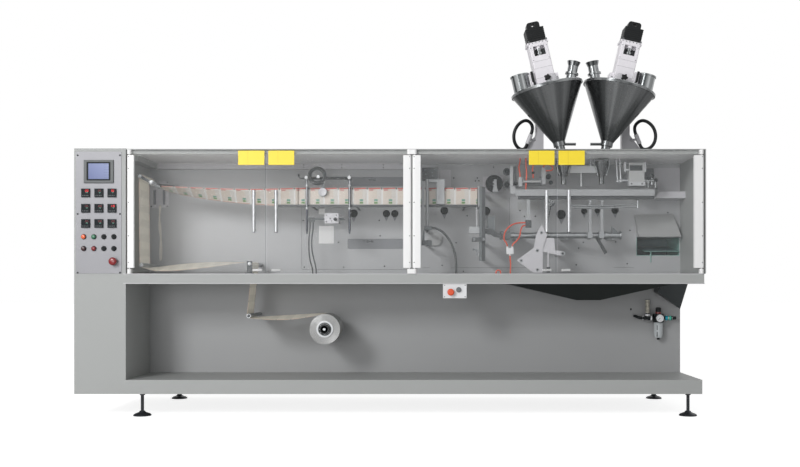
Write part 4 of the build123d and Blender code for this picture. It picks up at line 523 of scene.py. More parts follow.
ON_WALL = (240, 251)
STATION_PAINT = (
    ("film_guides", blued_steel, (-597, -333), (-30, -14), (230, 576)),
    ("film_guides", black_plastic, (-602, -328), (-13, 3), (550, 566)),
    ("film_guides", pale_steel, (-600, -330), (-53, -29), (370, 575)),
    ("print_station", plate_paint, (-481, -400), (-80, -12), (291, 349)),
    ("print_station", shaded_steel, (-577, -482), (-52, -28), (299, 328)),
    ("print_station", black_plastic, (-430, -406), (-100, -80), (300, 330)),
    ("print_station", hood_paint, (-524, -470), (-20, 2), (450, 503)),
    ("print_station", black_plastic, (-510, -484), (-30, -12), (462, 490)),
    ("side_sealer", shaded_steel, (81, 174), (12, 50), (550, 615)),
    ("side_sealer", shaded_steel, (81, 174), (-52, -12), (550, 615)),
    ("side_sealer", plate_paint, (165, 211), (4, 25), (405, 534)),
    ("side_sealer", grey_steel, (77, 137), (-80, -30), (164, 276)),
    ("side_sealer", shaded_steel, (90, 125), (-30, 250), (100, 640)),
    ("knife_station", grey_steel, (411, 427), (-70, -40), (75, 503)),
    ("knife_station", pale_steel, (405, 411), (-50, 40), (392, 510)),
    ("knife_station", plate_paint, (393, 402), (-62, -54), (230, 384)),
    ("knife_station", pale_steel, (353, 411), (-75, -35), (234, 271)),
    ("knife_station", pale_steel, (388, 411), (-62, -44), (118, 145)),
    ("knife_station", grey_steel, (460, 505), (-30, -18), (229, 336)),
    ("handwheel", pale_steel, (500, 535), (-140, 160), (484, 568)),
    ("pouch_opener", shaded_steel, (550, 640), (-13, 7), (495, 620)),
    ("pouch_opener", shaded_steel, (611, 629), (-25, -12), (528, 625)),
    ("pouch_opener", grey_steel, (662, 775), (-26, -12), (542, 556)),
    ("pouch_opener", shaded_steel, (662, 775), (-26, -12), (514, 528)),
    ("pouch_opener", shaded_steel, (800, 835), (-13, 7), (548, 584)),
    ("transport_rail", shaded_steel, (600, 1440), (-40, -14), (434, 451.9)),
    ("transport_rail", grey_steel, (600, 1440), (-20, 250), (440, 490)),
    ("transport_rail", shaded_steel, (681, 715), (-40, -10), (269, 312)),
    ("gripper_drive", grey_steel, (540, 598), (25, 75), (203, 251)),
    ("gripper_drive", pale_steel, (1045, 1145), (-12, 9), (240, 448)),
    ("gripper_drive", shaded_steel, (1096, 1170), (36, 64), (115, 224)),
    ("gripper_drive", grey_steel, (1196, 1241), (38, 62), (238, 281)),
    ("cam_plates", hood_paint, (110, 210), (150, 252), (170, 262)),
    ("cam_plates", shaded_steel, (790, 860), (-34, -18), (235, 440)),
    ("cam_plates", shaded_steel, (800, 824), (-48, -28), (7, 60)),
    ("valve_box", hood_paint, (1281, 1369), (-40, 50), (534, 644)),
    ("valve_box", bright_steel, (1395, 1460), (-20, 20), (495, 575)),
    ("fill_funnels", hopper_steel, (855, 960), (-60, 60), (520, 660)),
    ("fill_funnels", hopper_steel, (1078, 1180), (-60, 60), (520, 660)),
    ("wall_plates", white_paint, (-550, -457), ON_WALL, (187, 296)),
    ("wall_plates", white_paint, (-551, -512), ON_WALL, (365, 400)),
    ("wall_plates", plate_paint, (190, 256), ON_WALL, (533, 638)),
    ("wall_plates", plate_paint, (448, 574), ON_WALL, (500, 597)),
    ("wall_plates", hood_paint, (491, 598), ON_WALL, (409, 463)),
    ("wall_plates", plate_paint, (INNER_LEFT - POST, INNER_LEFT - POST + 118), ON_WALL, (404, 570)),
    ("wall_plates", hood_paint, (661, 797), ON_WALL, (392, 441)),
)
print("faces painted by region:", [paint_station(*row) for row in STATION_PAINT])

# %% [markdown]
# The rest is given in the machine's own millimetres: painted shade on walls, in hollows, on
# the troughs under the table and on the floor of the discharge chute inside the wall;
# painted light on the roof's underside; a painted dark reflection at the handles' lower
# ends; and small parts of another colour.

# %% Finishes by box
MACHINE_PAINT = (
    # Painted shade: the lower wall under the table is darker than the walls above.
    ("inner_walls", niche_painted_shade, (INNER_LEFT - 60, RIGHT), (-40, 60), (200, NICHE_TOP + 1)),
    ("inner_walls", bay_shade, (INNER_LEFT + 60, 1480), (0.8, 9.6), (820, 1470)),
    ("inner_walls", bay_shade, (-300, 70), (4.4, 9.6), (940, 1420)),
    ("rear_housing", hollow_dark, (INNER_LEFT + 60, 1470), (10.3, 82), (1060, 1260)),
    ("wall_plates", bay_shade, (1520, 1588), (-5, 1), (1376, 1454)),
    ("wall_plates", plate_paint, (1589, 1749), (-7, 1), (1310, 1460)),
    ("wall_plates", plate_paint, (1560, 1751), (-121, 1), (1255, 1302)),
    ("discharge_chute", hood_paint, (1460, 1745), (-81, 0.5), (1031, 1172)),
    # Painted shade: the chute inside the wall opening is darker than its teal front.
    ("discharge_chute", chute_painted_shade, (1525, 1742), (-19, 302), (940, 992), (0, 0, 1)),
    ("discharge_chute", chute_painted_shade, (1480, 1748), (20, 302), (915, 1035)),
    ("reel_hub", motor_black, (REEL_X - 31, REEL_X + 31), (-400, -367), (REEL_Z - 31, REEL_Z + 31)),
    ("switch_box", mushroom_orange, (315, 365), (-510, -474), (675, 730)),
    ("switch_box", grey_steel, (370, 400), (-490, -474), (700, 730)),
    # Painted light: the roof's underside is white, as if the lamps reached it.
    ("roof_cover", white_paint, (-1800, 1800), (-500, 520), (1470, 1479), (0, 0, -1)),
    ("roof_cover", plate_paint, (INNER_LEFT - 1, POST + 1), (-31, 0.5), (1444, 1479)),
    ("roof_cover", dark_enamel, (900, 1340), (-320, -180), (1504.5, 1530)),
    # Painted shade: the end of the troughs under the table is dark grey.
    ("under_troughs", dark_enamel, (1590, 1771), (-460, 0), (590, 749)),
    ("guide_rollers", dark_enamel, (-860, -760), (-430, -20), (805, 885)),
    ("air_service_unit", bowl_plastic, AIR[0] + (-29, 29), (-76, -14), AIR[2] + (-121, -26)),
    ("air_service_unit", cream_metal, AIR[0] + (-78, -52), (-76, -14), AIR[2] + (24, 112)),
    ("air_service_unit", red_cap, AIR[0] + (-18, 18), (-76, -14), AIR[2] + (25.5, 36.5)),
    # Painted reflection: the handles' lower ends are black, for the dark reflection of their curved
    # ends.
    *[(f"pull_handle_{door}", motor_black, (-2000, 2000), (-540, -480), (1030, 1052))
      for door in DOORS],
)
print("faces painted by box:", [paint(*row) for row in MACHINE_PAINT])

# %% [markdown]
# The film is a printed laminate that runs in one web: from the reel up round five rollers,
# through the former, where it folds in half lengthwise, and on as a row of joined pouches.
# The print has one repeat per pouch, every 85 mm. Its pattern follows the web through a
# UV map whose U is the length along the web in repeats, and whose V runs across it.

# %% Printed film
REPEAT, WEB = 85.0, 216.0
# The rules of the printed page are sin(160 w): 25 waves from the fold line to an edge.
RULE_WAVES = 160.0


def printed_film(name, warm, front=True):
    """Cream laminate with a red edge line, black cut marks and small green blocks.

    The shapes are steps of u (the place in a repeat) and w (0 at the fold line in the
    middle of the web, 1 at its two edges), multiplied together.
    """
    material, tree, shader, place = new_finish(name)
    uv = add(tree, "ShaderNodeUVMap", uv_map="print")
    split = add(tree, "ShaderNodeSeparateXYZ", {"Vector": uv.outputs[0]})
    u = add(tree, "ShaderNodeMath", {0: split.outputs["X"]}, operation="FRACT").outputs[0]
    off = add(tree, "ShaderNodeMath", {0: split.outputs["Y"], 1: 0.5}, operation="SUBTRACT")
    far = add(tree, "ShaderNodeMath", {0: off.outputs[0]}, operation="ABSOLUTE")
    w = add(tree, "ShaderNodeMath", {0: far.outputs[0], 1: 2.0}, operation="MULTIPLY").outputs[0]

    def within(value, low, high):
        over = add(tree, "ShaderNodeMath", {0: value, 1: low}, operation="GREATER_THAN")
        under = add(tree, "ShaderNodeMath", {0: value, 1: high}, operation="LESS_THAN")
        return add(tree, "ShaderNodeMath", {0: over.outputs[0], 1: under.outputs[0]},
                   operation="MULTIPLY").outputs[0]

    def spot(u_low, u_high, w_low, w_high):
        spans = {0: within(u, u_low, u_high), 1: within(w, w_low, w_high)}
        return add(tree, "ShaderNodeMath", spans, operation="MULTIPLY").outputs[0]

    fibres = add(tree, "ShaderNodeTexNoise", {"Vector": place, "Scale": 60.0, "Detail": 3.0})
    tone = add(tree, "ShaderNodeMix", {"Factor": fibres.outputs["Fac"], "A": srgb(warm[0]),
                                       "B": srgb(warm[1])}, data_type="RGBA")
    colour = tone.outputs["Result"]
    lines = add(tree, "ShaderNodeMath", {0: w, 1: RULE_WAVES}, operation="MULTIPLY")
    wave = add(tree, "ShaderNodeMath", {0: lines.outputs[0]}, operation="SINE")
    striped = add(tree, "ShaderNodeMath", {0: wave.outputs[0], 1: 0.2}, operation="GREATER_THAN")
    rules = add(tree, "ShaderNodeMath", {0: spot(0.14, 0.72, 0.40, 0.84), 1: striped.outputs[0]},
                operation="MULTIPLY")
    marks = (
        (rules.outputs[0], "C9B9A4", 0.6),
        (spot(0.12, 0.70, 0.05, 0.92), "CFC0B3", 0.45),
        (spot(0.0, 0.12, 0.0, 1.0), "DCDCDB", 0.75),
        (spot(0.12, 1.0, 0.0, 0.05), "C58C74", 0.7),
        (spot(0.12, 0.95, 0.925, 0.985), "C9483F", 0.9),
        (spot(0.18, 0.46, 0.83, 0.91), "B0504A", 0.65),
        (spot(0.52, 0.76, 0.27, 0.37), "3C8C78", 0.9),
        (spot(0.52, 0.76, 0.13, 0.235), "4C8638", 0.92),
        (spot(0.0, 0.075, 0.90, 1.0), "221F1D", 1.0),
    ) if front else (
        (spot(0.12, 0.97, 0.93, 0.99), "B9745C", 0.85),
        (spot(0.0, 0.5, 0.0, 1.0), "B4AFA2", 0.35),
        (spot(0.0, 0.075, 0.90, 1.0), "221F1D", 1.0),
    )
    for mask, hex_code, strength in marks:
        amount = add(tree, "ShaderNodeMath", {0: mask, 1: strength}, operation="MULTIPLY")
        colour = add(tree, "ShaderNodeMix", {"Factor": amount.outputs[0], "A": colour,
                                             "B": srgb(hex_code)}, data_type="RGBA").outputs["Result"]
    ripple = add(tree, "ShaderNodeTexNoise", {"Vector": place, "Scale": 22.0, "Detail": 2.0})
    bump = add(tree, "ShaderNodeBump", {"Height": ripple.outputs["Fac"], "Strength": 0.25,
                                        "Distance": 4 * MM})
    plug(tree, shader, {"Base Color": colour, "Roughness": 0.32, "Normal": bump.outputs[0]})
    if not front:
        # A faint glow of the print's own colour is painted light: it brightens the thin unlined side,
        # as light let through from behind would.
        plug(tree, shader, {"Emission Color": colour, "Emission Strength": 0.16})
    return material


film_print = printed_film("printed_laminate", ("C8C2BB", "D3D0CB"))
film_back = printed_film("printed_laminate_back", ("CCC7B9", "E0DBCE"), front=False)
film_plain = surface("trimmed_laminate", "DFDBD3", 0.3, grain=9.0, tint=0.05, relief=0.2)
print("print repeat", REPEAT, "mm on a web", WEB, "mm wide")

# %% [markdown]
# The flat part of the web is a band that touches circles. Between two circles it follows
# their common tangent: with the signed radii r0 and r1, the tangent's heading is the line
# of centres less arcsin((r1 - r0) / distance). The band is then carried across the width.

# %% The band's line
def band(stations, bend_steps=10, run_steps=8):
    """Points along a band that bends round circles (x, z, signed radius) in the XZ plane."""
    headings = []
    for (x0, z0, r0), (x1, z1, r1) in zip(stations, stations[1:]):
        dx, dz = x1 - x0, z1 - z0
        headings.append(math.atan2(dz, dx) - math.asin((r1 - r0) / math.hypot(dx, dz)))

    def touch(spot, heading):
        x, z, r = spot
        return np.stack([x + r * np.sin(heading), z - r * np.cos(heading)], -1)

    parts = []
    for i, heading in enumerate(headings):
        ends = touch(stations[i], heading), touch(stations[i + 1], heading)
        share = np.linspace(0, 1, run_steps, endpoint=False)[:, None]
        parts.append(ends[0] * (1 - share) + ends[1] * share)
        if i + 1 < len(headings):
            turn = (headings[i + 1] - heading + np.pi) % (2 * np.pi) - np.pi
            sweep = heading + turn * np.linspace(0, 1, bend_steps, endpoint=False)
            parts.append(touch(stations[i + 1], sweep))
        else:
            parts.append(ends[1][None])
    return np.concatenate(parts)


ROLLERS = {
    "lower": (POST - 910, NICHE_TOP - 183), "table": (POST - 904, TABLE + 57),
    "turn": (INNER_LEFT + 54, TABLE + 50), "top": (INNER_LEFT + 49, TABLE + 556),
    "former": (INNER_LEFT + 111, TABLE + 522),
}
REEL_RADIUS, REEL_GAP, ROLLER_RADIUS, FILM_GAP = 87.0, 1.0, 12.0, 0.6
FILM_TOP, FILM_END = TABLE + 504, POST + 403
FOLD_START, FOLD_LENGTH = INNER_LEFT + 145, 795.0
route = [(REEL_X, REEL_Z, REEL_RADIUS + REEL_GAP)]
for name, side in (("lower", -1), ("table", 1), ("turn", -1), ("top", -1), ("former", 1)):
    route.append((*ROLLERS[name], side * (ROLLER_RADIUS + FILM_GAP)))
centre = band(route + [(FOLD_START, FILM_TOP, 0)])
run = np.concatenate([[0], np.cumsum(np.linalg.norm(np.diff(centre, axis=0), axis=1))])
print("flat web", round(run[-1]), "mm long in", len(centre), "rows")

# %% [markdown]
# Each stretch of film is a grid with one row per place along the web and one column per
# place across it. Columns of numbers times rows of numbers give the grid, and Solidify
# gives the film its thickness.

# %% A stretch of film
across = np.linspace(-1, 1, 13)


def film_piece(name, x, y, z, length, finish, thickness=0.5):
    """A sheet of film from three arrays that spread to one grid, in mm.

    The print map's U is the length along the web in repeats, and V runs from 0 to 1
    across it. The thickness lies on both sides of the sheet.
    """
    points = np.stack(np.broadcast_arrays(x, y, z), -1)
    uv = np.stack(np.broadcast_arrays(length / REPEAT, (across + 1) / 2), -1).reshape(-1, 2)
    made = piece(name, grid(points), finish, slot="film", uv=uv)
    solid = made.modifiers.new("thickness", "SOLIDIFY")
    solid.thickness = thickness * MM
    solid.offset = 0
    return made


# %% [markdown]
# The run over the table is slack: its near edge droops and its far edge lifts. The run
# from the reel droops a little too. Both come back to the rollers at their ends. Each is
# half a sine wave along the run, and a power shifts the place where it is deepest.

# %% Flat web
NEAR_DROOP, FAR_LIFT, REEL_DROOP = 30, 17, 22
TABLE_RUN, REEL_RUN = (TABLE + 20, TABLE + 85), NICHE_TOP - 40
web_x, web_z = centre[:, :1], centre[:, 1:]
turn_x, table_x, lower_x = (ROLLERS[name][0] for name in ("turn", "table", "lower"))
on_table = (web_z > TABLE_RUN[0]) & (web_z < TABLE_RUN[1])
way = np.clip((web_x - turn_x) / (table_x - turn_x), 0, 1)
reel_way = np.clip((web_x - lower_x) / (REEL_X - lower_x), 0, 1)
droop = (np.where(on_table, np.sin(np.pi * way ** 0.55), 0) * NEAR_DROOP
         + np.where(web_z < REEL_RUN, np.sin(np.pi * reel_way), 0) * REEL_DROOP)
lift = np.where(on_table, np.sin(np.pi * way ** 0.9), 0) * FAR_LIFT
near = np.clip((1 - across) / 2, 0, 1) ** 1.5
flat_web = film_piece("film_flat_web", web_x, FILM + across * WEB / 2,
                      web_z - droop * near + lift * (1 - near) ** 1.5,
                      (run - run[-1])[:, None], film_back)
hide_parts("film_web")

# %% [markdown]
# At the former the web folds in half. Each half is a straight limb, and the angle between
# the limbs closes along the way: half width = limb × cos a, drop = limb × sin a. The
# closed web then runs on as pouches: flat across the seals, slightly full between them,
# and joined along the fold line, where the two halves stay together.

# %% Folding web and pouches
OPEN_ANGLE, CLOSING_ANGLE, EDGE_SLACK = 6, 81.5, 11
share = np.linspace(0, 1, 61)[:, None]
angle = np.radians(OPEN_ANGLE + CLOSING_ANGLE * share ** 0.8)
slack = EDGE_SLACK * np.sin(np.pi * share ** 1.2)
w = np.abs(across)
film_piece("film_folding_web", FOLD_START + FOLD_LENGTH * share,
           FILM + np.sign(across) * w * (WEB / 2 * np.cos(angle)),
           FILM_TOP - (WEB / 2 * np.sin(angle)) * (1 - w) - slack * w,
           FOLD_LENGTH * share, film_print)
SEAL, SEAL_HALF, FULL_HALF, EDGE_WAVE, FOLD_LINE = 0.11, 0.35, 1.3, 0.9, 0.01
pouch_x = np.linspace(FOLD_START + FOLD_LENGTH, FILM_END, 200)[:, None]
phase = ((pouch_x - FOLD_START) / REPEAT) % 1.0
fullness = np.clip(np.sin(np.pi * np.clip((phase - SEAL) / (1 - SEAL), 0, 1)), 0, 1) ** 0.6
body = np.clip(np.sin(np.pi * w), 0, 1) ** 0.7
film_piece("film_pouches", pouch_x,
           FILM + np.sign(across) * (SEAL_HALF + FULL_HALF * fullness * body) * (w > FOLD_LINE),
           FILM_TOP - WEB / 2 * (1 - w) - EDGE_WAVE * np.sin(2 * np.pi * phase) * w,
           pouch_x - FOLD_START, film_print, thickness=0.3)
print("pouches:", round((FILM_END - pouch_x[0, 0]) / REPEAT, 1))

# %% [markdown]
# A narrow strip of trimmed film hangs down at the left end, just in front of the wall, and
# sways and twists a little on its way to the table.

# %% Trimmed strip
LEAN_OUT, SWAY, TOP_HALF, FOOT_MORE, FLUTTER = 9, 2.5, 5.5, 4.0, 2.0
tail_z = np.linspace(TABLE + 84, TABLE + 419, 40)[:, None]
fallen = 1 - (tail_z - tail_z[0]) / (tail_z[-1] - tail_z[0])
tail_x = INNER_LEFT + 62 + LEAN_OUT * fallen ** 2 + SWAY * np.sin(tail_z / 38.0)
half_width = TOP_HALF + FOOT_MORE * fallen + FLUTTER * np.sin(tail_z / 21.0)
film_piece("film_trim_strip", tail_x + half_width * across,
           -10.0 + 1.6 * np.sin(4 * across) * np.cos(tail_z / 17.0), tail_z, tail_z, film_plain)

# %% [markdown]
# The reel shows its wound layers on its side as fine rings. They are a sine of the distance
# from the reel's axis, a ring every 2.6 mm: the real layers are 0.1 mm apart, too fine to
# show here.

# %% Reel
RING_PITCH = 2.6 * MM
reel_finish, tree, shader, place = new_finish("wound_film_reel")
moved = add(tree, "ShaderNodeMapping", {"Vector": place, "Scale": (1, 0, 1),
                                        "Location": (-REEL_X * MM, 0, -REEL_Z * MM)})
distance = add(tree, "ShaderNodeVectorMath", {0: moved.outputs[0]}, operation="LENGTH")
rings = add(tree, "ShaderNodeMath", {0: distance.outputs["Value"], 1: 2 * math.pi / RING_PITCH},
            operation="MULTIPLY")
ring_wave = add(tree, "ShaderNodeMath", {0: rings.outputs[0]}, operation="SINE")
layered = add(tree, "ShaderNodeMapRange", {"Value": ring_wave.outputs[0], "From Min": -1.0})
tones = add(tree, "ShaderNodeMix", {"Factor": layered.outputs[0], "A": srgb("7E7F7F"),
                                    "B": srgb("A5A5A4")}, data_type="RGBA")
ridge = add(tree, "ShaderNodeBump", {"Height": ring_wave.outputs[0], "Strength": 0.3,
                                     "Distance": 0.4 * MM})
plug(tree, shader, {"Base Color": tones.outputs["Result"], "Roughness": 0.28, "Metallic": 0.5,
                    "Normal": ridge.outputs[0]})
dress("film_roll", reel_finish)
HUB = (REEL_X, FILM - WEB / 2 - 8.5, REEL_Z)
piece("hub_rings", merged([turned([(31.5, -0.4), (31.5, 0.8), (38, 0.8), (38, -0.4)], HUB, 56),
                           turned([(22, 24), (22, 25.4), (25, 25.4), (25, 24)], HUB, 40)]),
      shaded_steel, body="reel", slot="white_plastic")
piece("hub_bolt", turned([(0, 27), (8, 27), (9.5, 25.5), (9.5, 23.6), (0, 23.6)], HUB, 6),
      ground_steel, body="reel", smooth=False)

# %% [markdown]
# Hoses and cables. Each is one smooth NURBS curve through the same route as its CAD solid,
# with both ends in a fitting. A table gives a hose's radius, its finish, the CAD node it
# takes the place of, and its points from the post, the film and the table.

# %% Hoses
def hose(name, points, radius, finish, replaced=None):
    """A free hose as a NURBS curve of order 3 with a round bevel.
    """
    curve = bpy.data.curves.new(name, "CURVE")
    curve.dimensions = "3D"
    curve.bevel_depth = radius * MM
    curve.bevel_resolution = 4
    curve.use_fill_caps = True
    curve.resolution_u = 10
    spline = curve.splines.new("NURBS")
    spline.points.add(len(points) - 1)
    for point, (x, y, z) in zip(spline.points, points):
        point.co = (x * MM, y * MM, z * MM, 1)
    spline.order_u = 3
    spline.use_endpoint_u = True
    curve.materials.append(finish)
    thing = bpy.data.objects.new(name, curve)
    bpy.context.scene.collection.objects.link(thing)
    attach(thing, "cabinet")
    if replaced:
        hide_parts(replaced)


CABLES = (
    ("sealer_hose", 6.5, hose_grey, "machine_cables",
     [(137, -55, 265), (162, -55, 265), (200, -55, 244), (230, -54, 210), (256, -52, 165),
      (273, -50, 112), (278, -48, 54), (278, -48, 0)]),
    ("coder_cable_left", 4, grey_cable, None,
     [(-568, -40, 300), (-568, -40, 262), (-576, -38, 205), (-576, -36, 120), (-566, -34, 62),
      (-554, -32, 30), (-554, -32, 0)]),
    ("coder_cable_right", 4, grey_cable, None,
     [(-550, -40, 300), (-550, -40, 262), (-560, -43, 200), (-557, -46, 130), (-541, -46, 68),
      (-532, -46, 30), (-532, -46, 0)]),
    ("sensor_cable", 3.5, grey_cable, None,
     [(-668, 250, 605), (-668, 215, 605), (-664, 160, 596), (-654, 105, 580), (-642, 52, 566),
      (-628, -5, 558), (-601, -5, 558)]),
)
AIR_RUNS = (
    ("air_loop", "air_lines",
     [(681, -25, 298), (655, -25, 298), (615, -40, 292), (578, -52, 270), (556, -58, 236),
      (552, -58, 196), (574, -54, 174), (574, -54, 150)]),
    ("air_branch", None,
     [(681, -25, 282), (664, -25, 282), (652, -40, 252), (646, -50, 214), (622, -54, 184),
      (602, -54, 172), (602, -54, 150)]),
    ("air_drop", None,
     [(589, -54, 114), (589, -54, 92), (594, -54, 56), (591, -54, 22), (591, -54, 0)]),
    ("air_supply_left", None,
     [(651, -21, 672), (651, -21, 650), (641, -24, 618), (651, -21, 586), (651, -21, 562)]),
    ("air_supply_middle", None,
     [(683, -35, 672), (683, -35, 630), (688, -38, 580), (683, -35, 530), (683, -35, 489)]),
    ("air_supply_right", None,
     [(731, -19, 672), (731, -19, 644), (721, -22, 612), (727, -19, 580), (727, -19, 556)]),
    ("air_curl", None,
     [(786, -23, 617), (786, -23, 634), (814, -26, 638), (840, -28, 624), (840, -26, 604),
      (822, -23, 600), (797, -23, 600)]),
)
for name, radius, finish, replaced, points in CABLES:
    hose(name, station(points), radius, finish, replaced)
for name, replaced, points in AIR_RUNS:
    hose(name, station(points), 4, orange_tube, replaced)

# %% [markdown]
# Each filler has a stiff black hose that stands up beside its post in a ring. One list of
# points serves both: how far out from the post's edge, how high over the roof, and how far
# in front of the post.

# %% Ring hoses of the fillers
RING = ((32, 144, 0), (21, 172, 0), (26, 204, 12), (54, 226, 30), (88, 219, 42), (122, 188, 50),
        (140, 144, 50), (138, 98, 44), (118, 64, 32), (90, 51, 16), (65, 60, 0), (54, 88, 0))
FILLER_MIDDLE = POST + 1020
FILLERS = {-1: "left", 1: "right"}
POST_EDGE = {-1: 252.0, 1: 318.0}
for side, name in FILLERS.items():
    ring = [(FILLER_MIDDLE + side * (POST_EDGE[side] + out), -60 - front, ROOF + z)
            for out, z, front in RING]
    hose(f"ring_hose_{name}", ring, 10, black_rubber,
         "roof_hoses" if side < 0 else None)

# %% [markdown]
# The edge sensor's spare cable is wound into a coil that hangs in front of the clamp bar,
# and its end goes down to the sensor. One spline holds all its turns. Each turn keeps its
# own small offset, so the turns lie beside each other instead of in each other.

# %% Coiled sensor cable
TURNS, POINTS_A_TURN, COIL_RADIUS, PACKED = 6, 14, 45, 8.7
offsets = [(0, 0)] + [(PACKED * math.cos(k * np.pi / 3), PACKED * math.sin(k * np.pi / 3))
                      for k in range(TURNS)]
turn_angle = np.linspace(0, 2 * np.pi * TURNS, POINTS_A_TURN * TURNS + 1)
which = np.clip(turn_angle / (2 * np.pi), 0, TURNS)
out, back = (np.interp(which, range(len(offsets)), shifts) for shifts in zip(*offsets))
radius = COIL_RADIUS + out
swing = turn_angle + math.radians(-100)
coil = np.stack([-529 + radius * np.cos(swing), -27.5 + back, 570 + radius * np.sin(swing)], -1)
print("coil", len(coil), "points, bends of about", round(radius.min()), "mm")
hose("sensor_cable_coil", station(coil), 3.6, grey_cable)

# %% [markdown]
# The tee that joins the air lines, and a short formed tube that bridges two holes of the
# table: a half circle of 13 mm between two upright ends.

# %% Tee and bridge tube
BOW_RADIUS = 13
bow = [(521 + BOW_RADIUS * math.cos(t), -61, 9 + BOW_RADIUS * math.sin(t))
       for t in np.linspace(np.pi, 0, 13)]
bridge = [(508, -60, 0), (508, -60, 6), *bow, (534, -62, 6), (534, -62, 0)]
piece("air_bridge", tube(station(bridge), 4.0, sides=16), orange_tube, slot="orange_hose")
STUB = [(0, 0), (6, 0), (6.5, 1), (6.5, 9), (5, 11), (0, 11)]
stubs = [lathe(STUB, station((x, -54, z)), axis=(0, 0, up), sides=20)
         for x, z, up in ((574, 148, 1), (602, 148, 1), (589, 116, -1))]
piece("air_tee", merged([slab(42, 20, 36, station((589, -54, 114)), corner=3, edge=1.2), *stubs]),
      white_plastic, slot="white_plastic")

# %% [markdown]
# The yellow plates are thin signs stuck to the doors' front. Theirs is a plain yellow face
# with a thin dividing line, and nothing is written on them.

# %% Yellow plates on the doors
PLATE_HEIGHT, PLATE_MIDDLE, LINE_SHARE = 80.0, 1454.0, 0.37
PLATE_SPANS = ((-850, -703), (-681, -536), (777, 921), (943, 1090))
line_grey = surface("plate_dividing_line", "D8B92E", 0.4, grain=3.0, tint=0.05)
for door, (x0, x1) in zip(DOORS, PLATE_SPANS):
    piece(f"yellow_plate_{door}",
          plate(x1 - x0, PLATE_HEIGHT, 1.2, ((x0 + x1) / 2, DOOR_FACE, PLATE_MIDDLE), 1.5, 0.3),
          yellow_plate, body=f"door_{door}", slot="white_paint")
    split_x = x0 + LINE_SHARE * (x1 - x0)
    piece(f"plate_line_{door}",
          plate(1.4, PLATE_HEIGHT - 3, 0.3, (split_x, DOOR_FACE - 1.2, PLATE_MIDDLE), 0.3, 0.1),
          line_grey, body=f"door_{door}", slot="white_paint")

# %% [markdown]
# Small screws and sheet joints on the walls. A ray from the front finds the face that each
# one sits on, so a screw on a plate stands as far forward as its plate.

# %% Screws and joints
WALL = ("inner_walls", "wall_plates", "rear_housing")
INSIDE, OUTSIDE = -100.0, -600.0


def front_face(x, z, names, start=OUTSIDE):
    """Y of the first face of some nodes behind a place of the front view, in mm."""
    found = []
    for name in names:
        hit, spot, _, _ = nodes[name].ray_cast((x * MM, start * MM, z * MM), (0, 1, 0))
        if hit:
            found.append(spot.y / MM)
    return min(found)


def screws(name, places, radius, finish, on, body="cabinet", start=OUTSIDE):
    """Low domed heads at (x, z) places, each on the face behind it."""
    dome = [(0, 0.5 * radius), (0.6 * radius, 0.42 * radius), (radius, 0.1 * radius),
            (radius, -0.3), (0, -0.3)]
    heads = [turned(dome, (x, front_face(x, z, on, start), z), 14) for x, z in places]
    piece(name, merged(heads), finish, body=body)


WALL_SCREWS = ((-546, 1134), (-332, 1001), (-84, 1135), (-78, 1041), (-540, 850), (-300, 850),
               (-52, 856), (371, 1394), (614, 1459), (514, 1394), (502, 1376), (524, 1376),
               (452, 1163), (385, 999), (429, 825), (299, 861), (774, 1195), (801, 1159),
               (868, 1160), (1675, 1182), (1160, 1001), (1132, 966), (1117, 864), (1427, 871),
               (1358, 1004), (1444, 1074), (-1470, 1219), (-1373, 1219), (-1373, 1367),
               (-1400, 1351))
SLOT_SCREWS = [(x, z) for z in (1396, 1011) for x in (-177, -154, -130)]
RAIL_SCREWS = [(x, z) for x in (-540, -310, -57) for z in (1470, 1453)]
HEAD_SCREWS = ((201, 1383), (238, 1393), (254, 1411), (196, 1408), (240, 1374))
screws("wall_screws", WALL_SCREWS, 4.5, screw_black, WALL, start=INSIDE)
screws("niche_hole_plug", ((1450, 594),), 6, screw_black, WALL, start=INSIDE)
screws("slot_screws", SLOT_SCREWS, 3.6, screw_black, WALL, start=INSIDE)
screws("rail_screws", RAIL_SCREWS, 3.6, screw_black, ("roof_cover",), start=INSIDE)
screws("sealer_head_screws", HEAD_SCREWS, 4.6, screw_zinc, ("side_sealer",))
JOINTS = (((-557, 835), (-555, 1217)), ((-556, 834), (95, 836)), ((180, 846), (832, 848)),
          ((709, 1062), (711, 1272)), ((1348, 848), (1470, 850)))
lines = []
for (x0, z0), (x1, z1) in JOINTS:
    x, z = (x0 + x1) / 2, (z0 + z1) / 2
    lines.append(plate(x1 - x0, z1 - z0, 0.4, (x, front_face(x, z, WALL, INSIDE), z), 0.4, 0.1))
piece("wall_joints", merged(lines), joint_line, slot="wall_paint")
slots = [plate(17, 90, 0.5, (INNER_LEFT + x, 0, TABLE + 470.5), 1, 0.1) for x in (29.5, 86.5)]
piece("adjuster_slot_shade", merged(slots), bay_shade, slot="wall_paint")
for door, pin_x in zip(DOORS, (-1462, 110, 135, 1747)):
    screws(f"hinge_screws_{door}", [(pin_x, z) for z in (868, 1017, 1204, 1394, 1460)], 3.2,
           screw_zinc, (f"door_trim_{door}",), body=f"door_{door}")

# %% [markdown]
# A turned end on each guide roller, and the face of the film's edge sensor: a small disc
# with a raised ring round it. The end of the lower roller, under the table, is dark steel
# as painted shade.

# %% Roller ends and sensor face
disc = [(0, 2.2), (3, 2.2), (3.4, 1.2), (8.0, 1.2), (9.6, 0.2), (9.6, -0.4), (0, -0.4)]
ends = {name: turned(disc, (x, front_face(x, z, ("film_former", "guide_rollers")), z), 28)
        for name, (x, z) in ROLLERS.items()}
piece("roller_ends", merged([ends[name] for name in ("turn", "top", "former", "table")]),
      light_alloy)
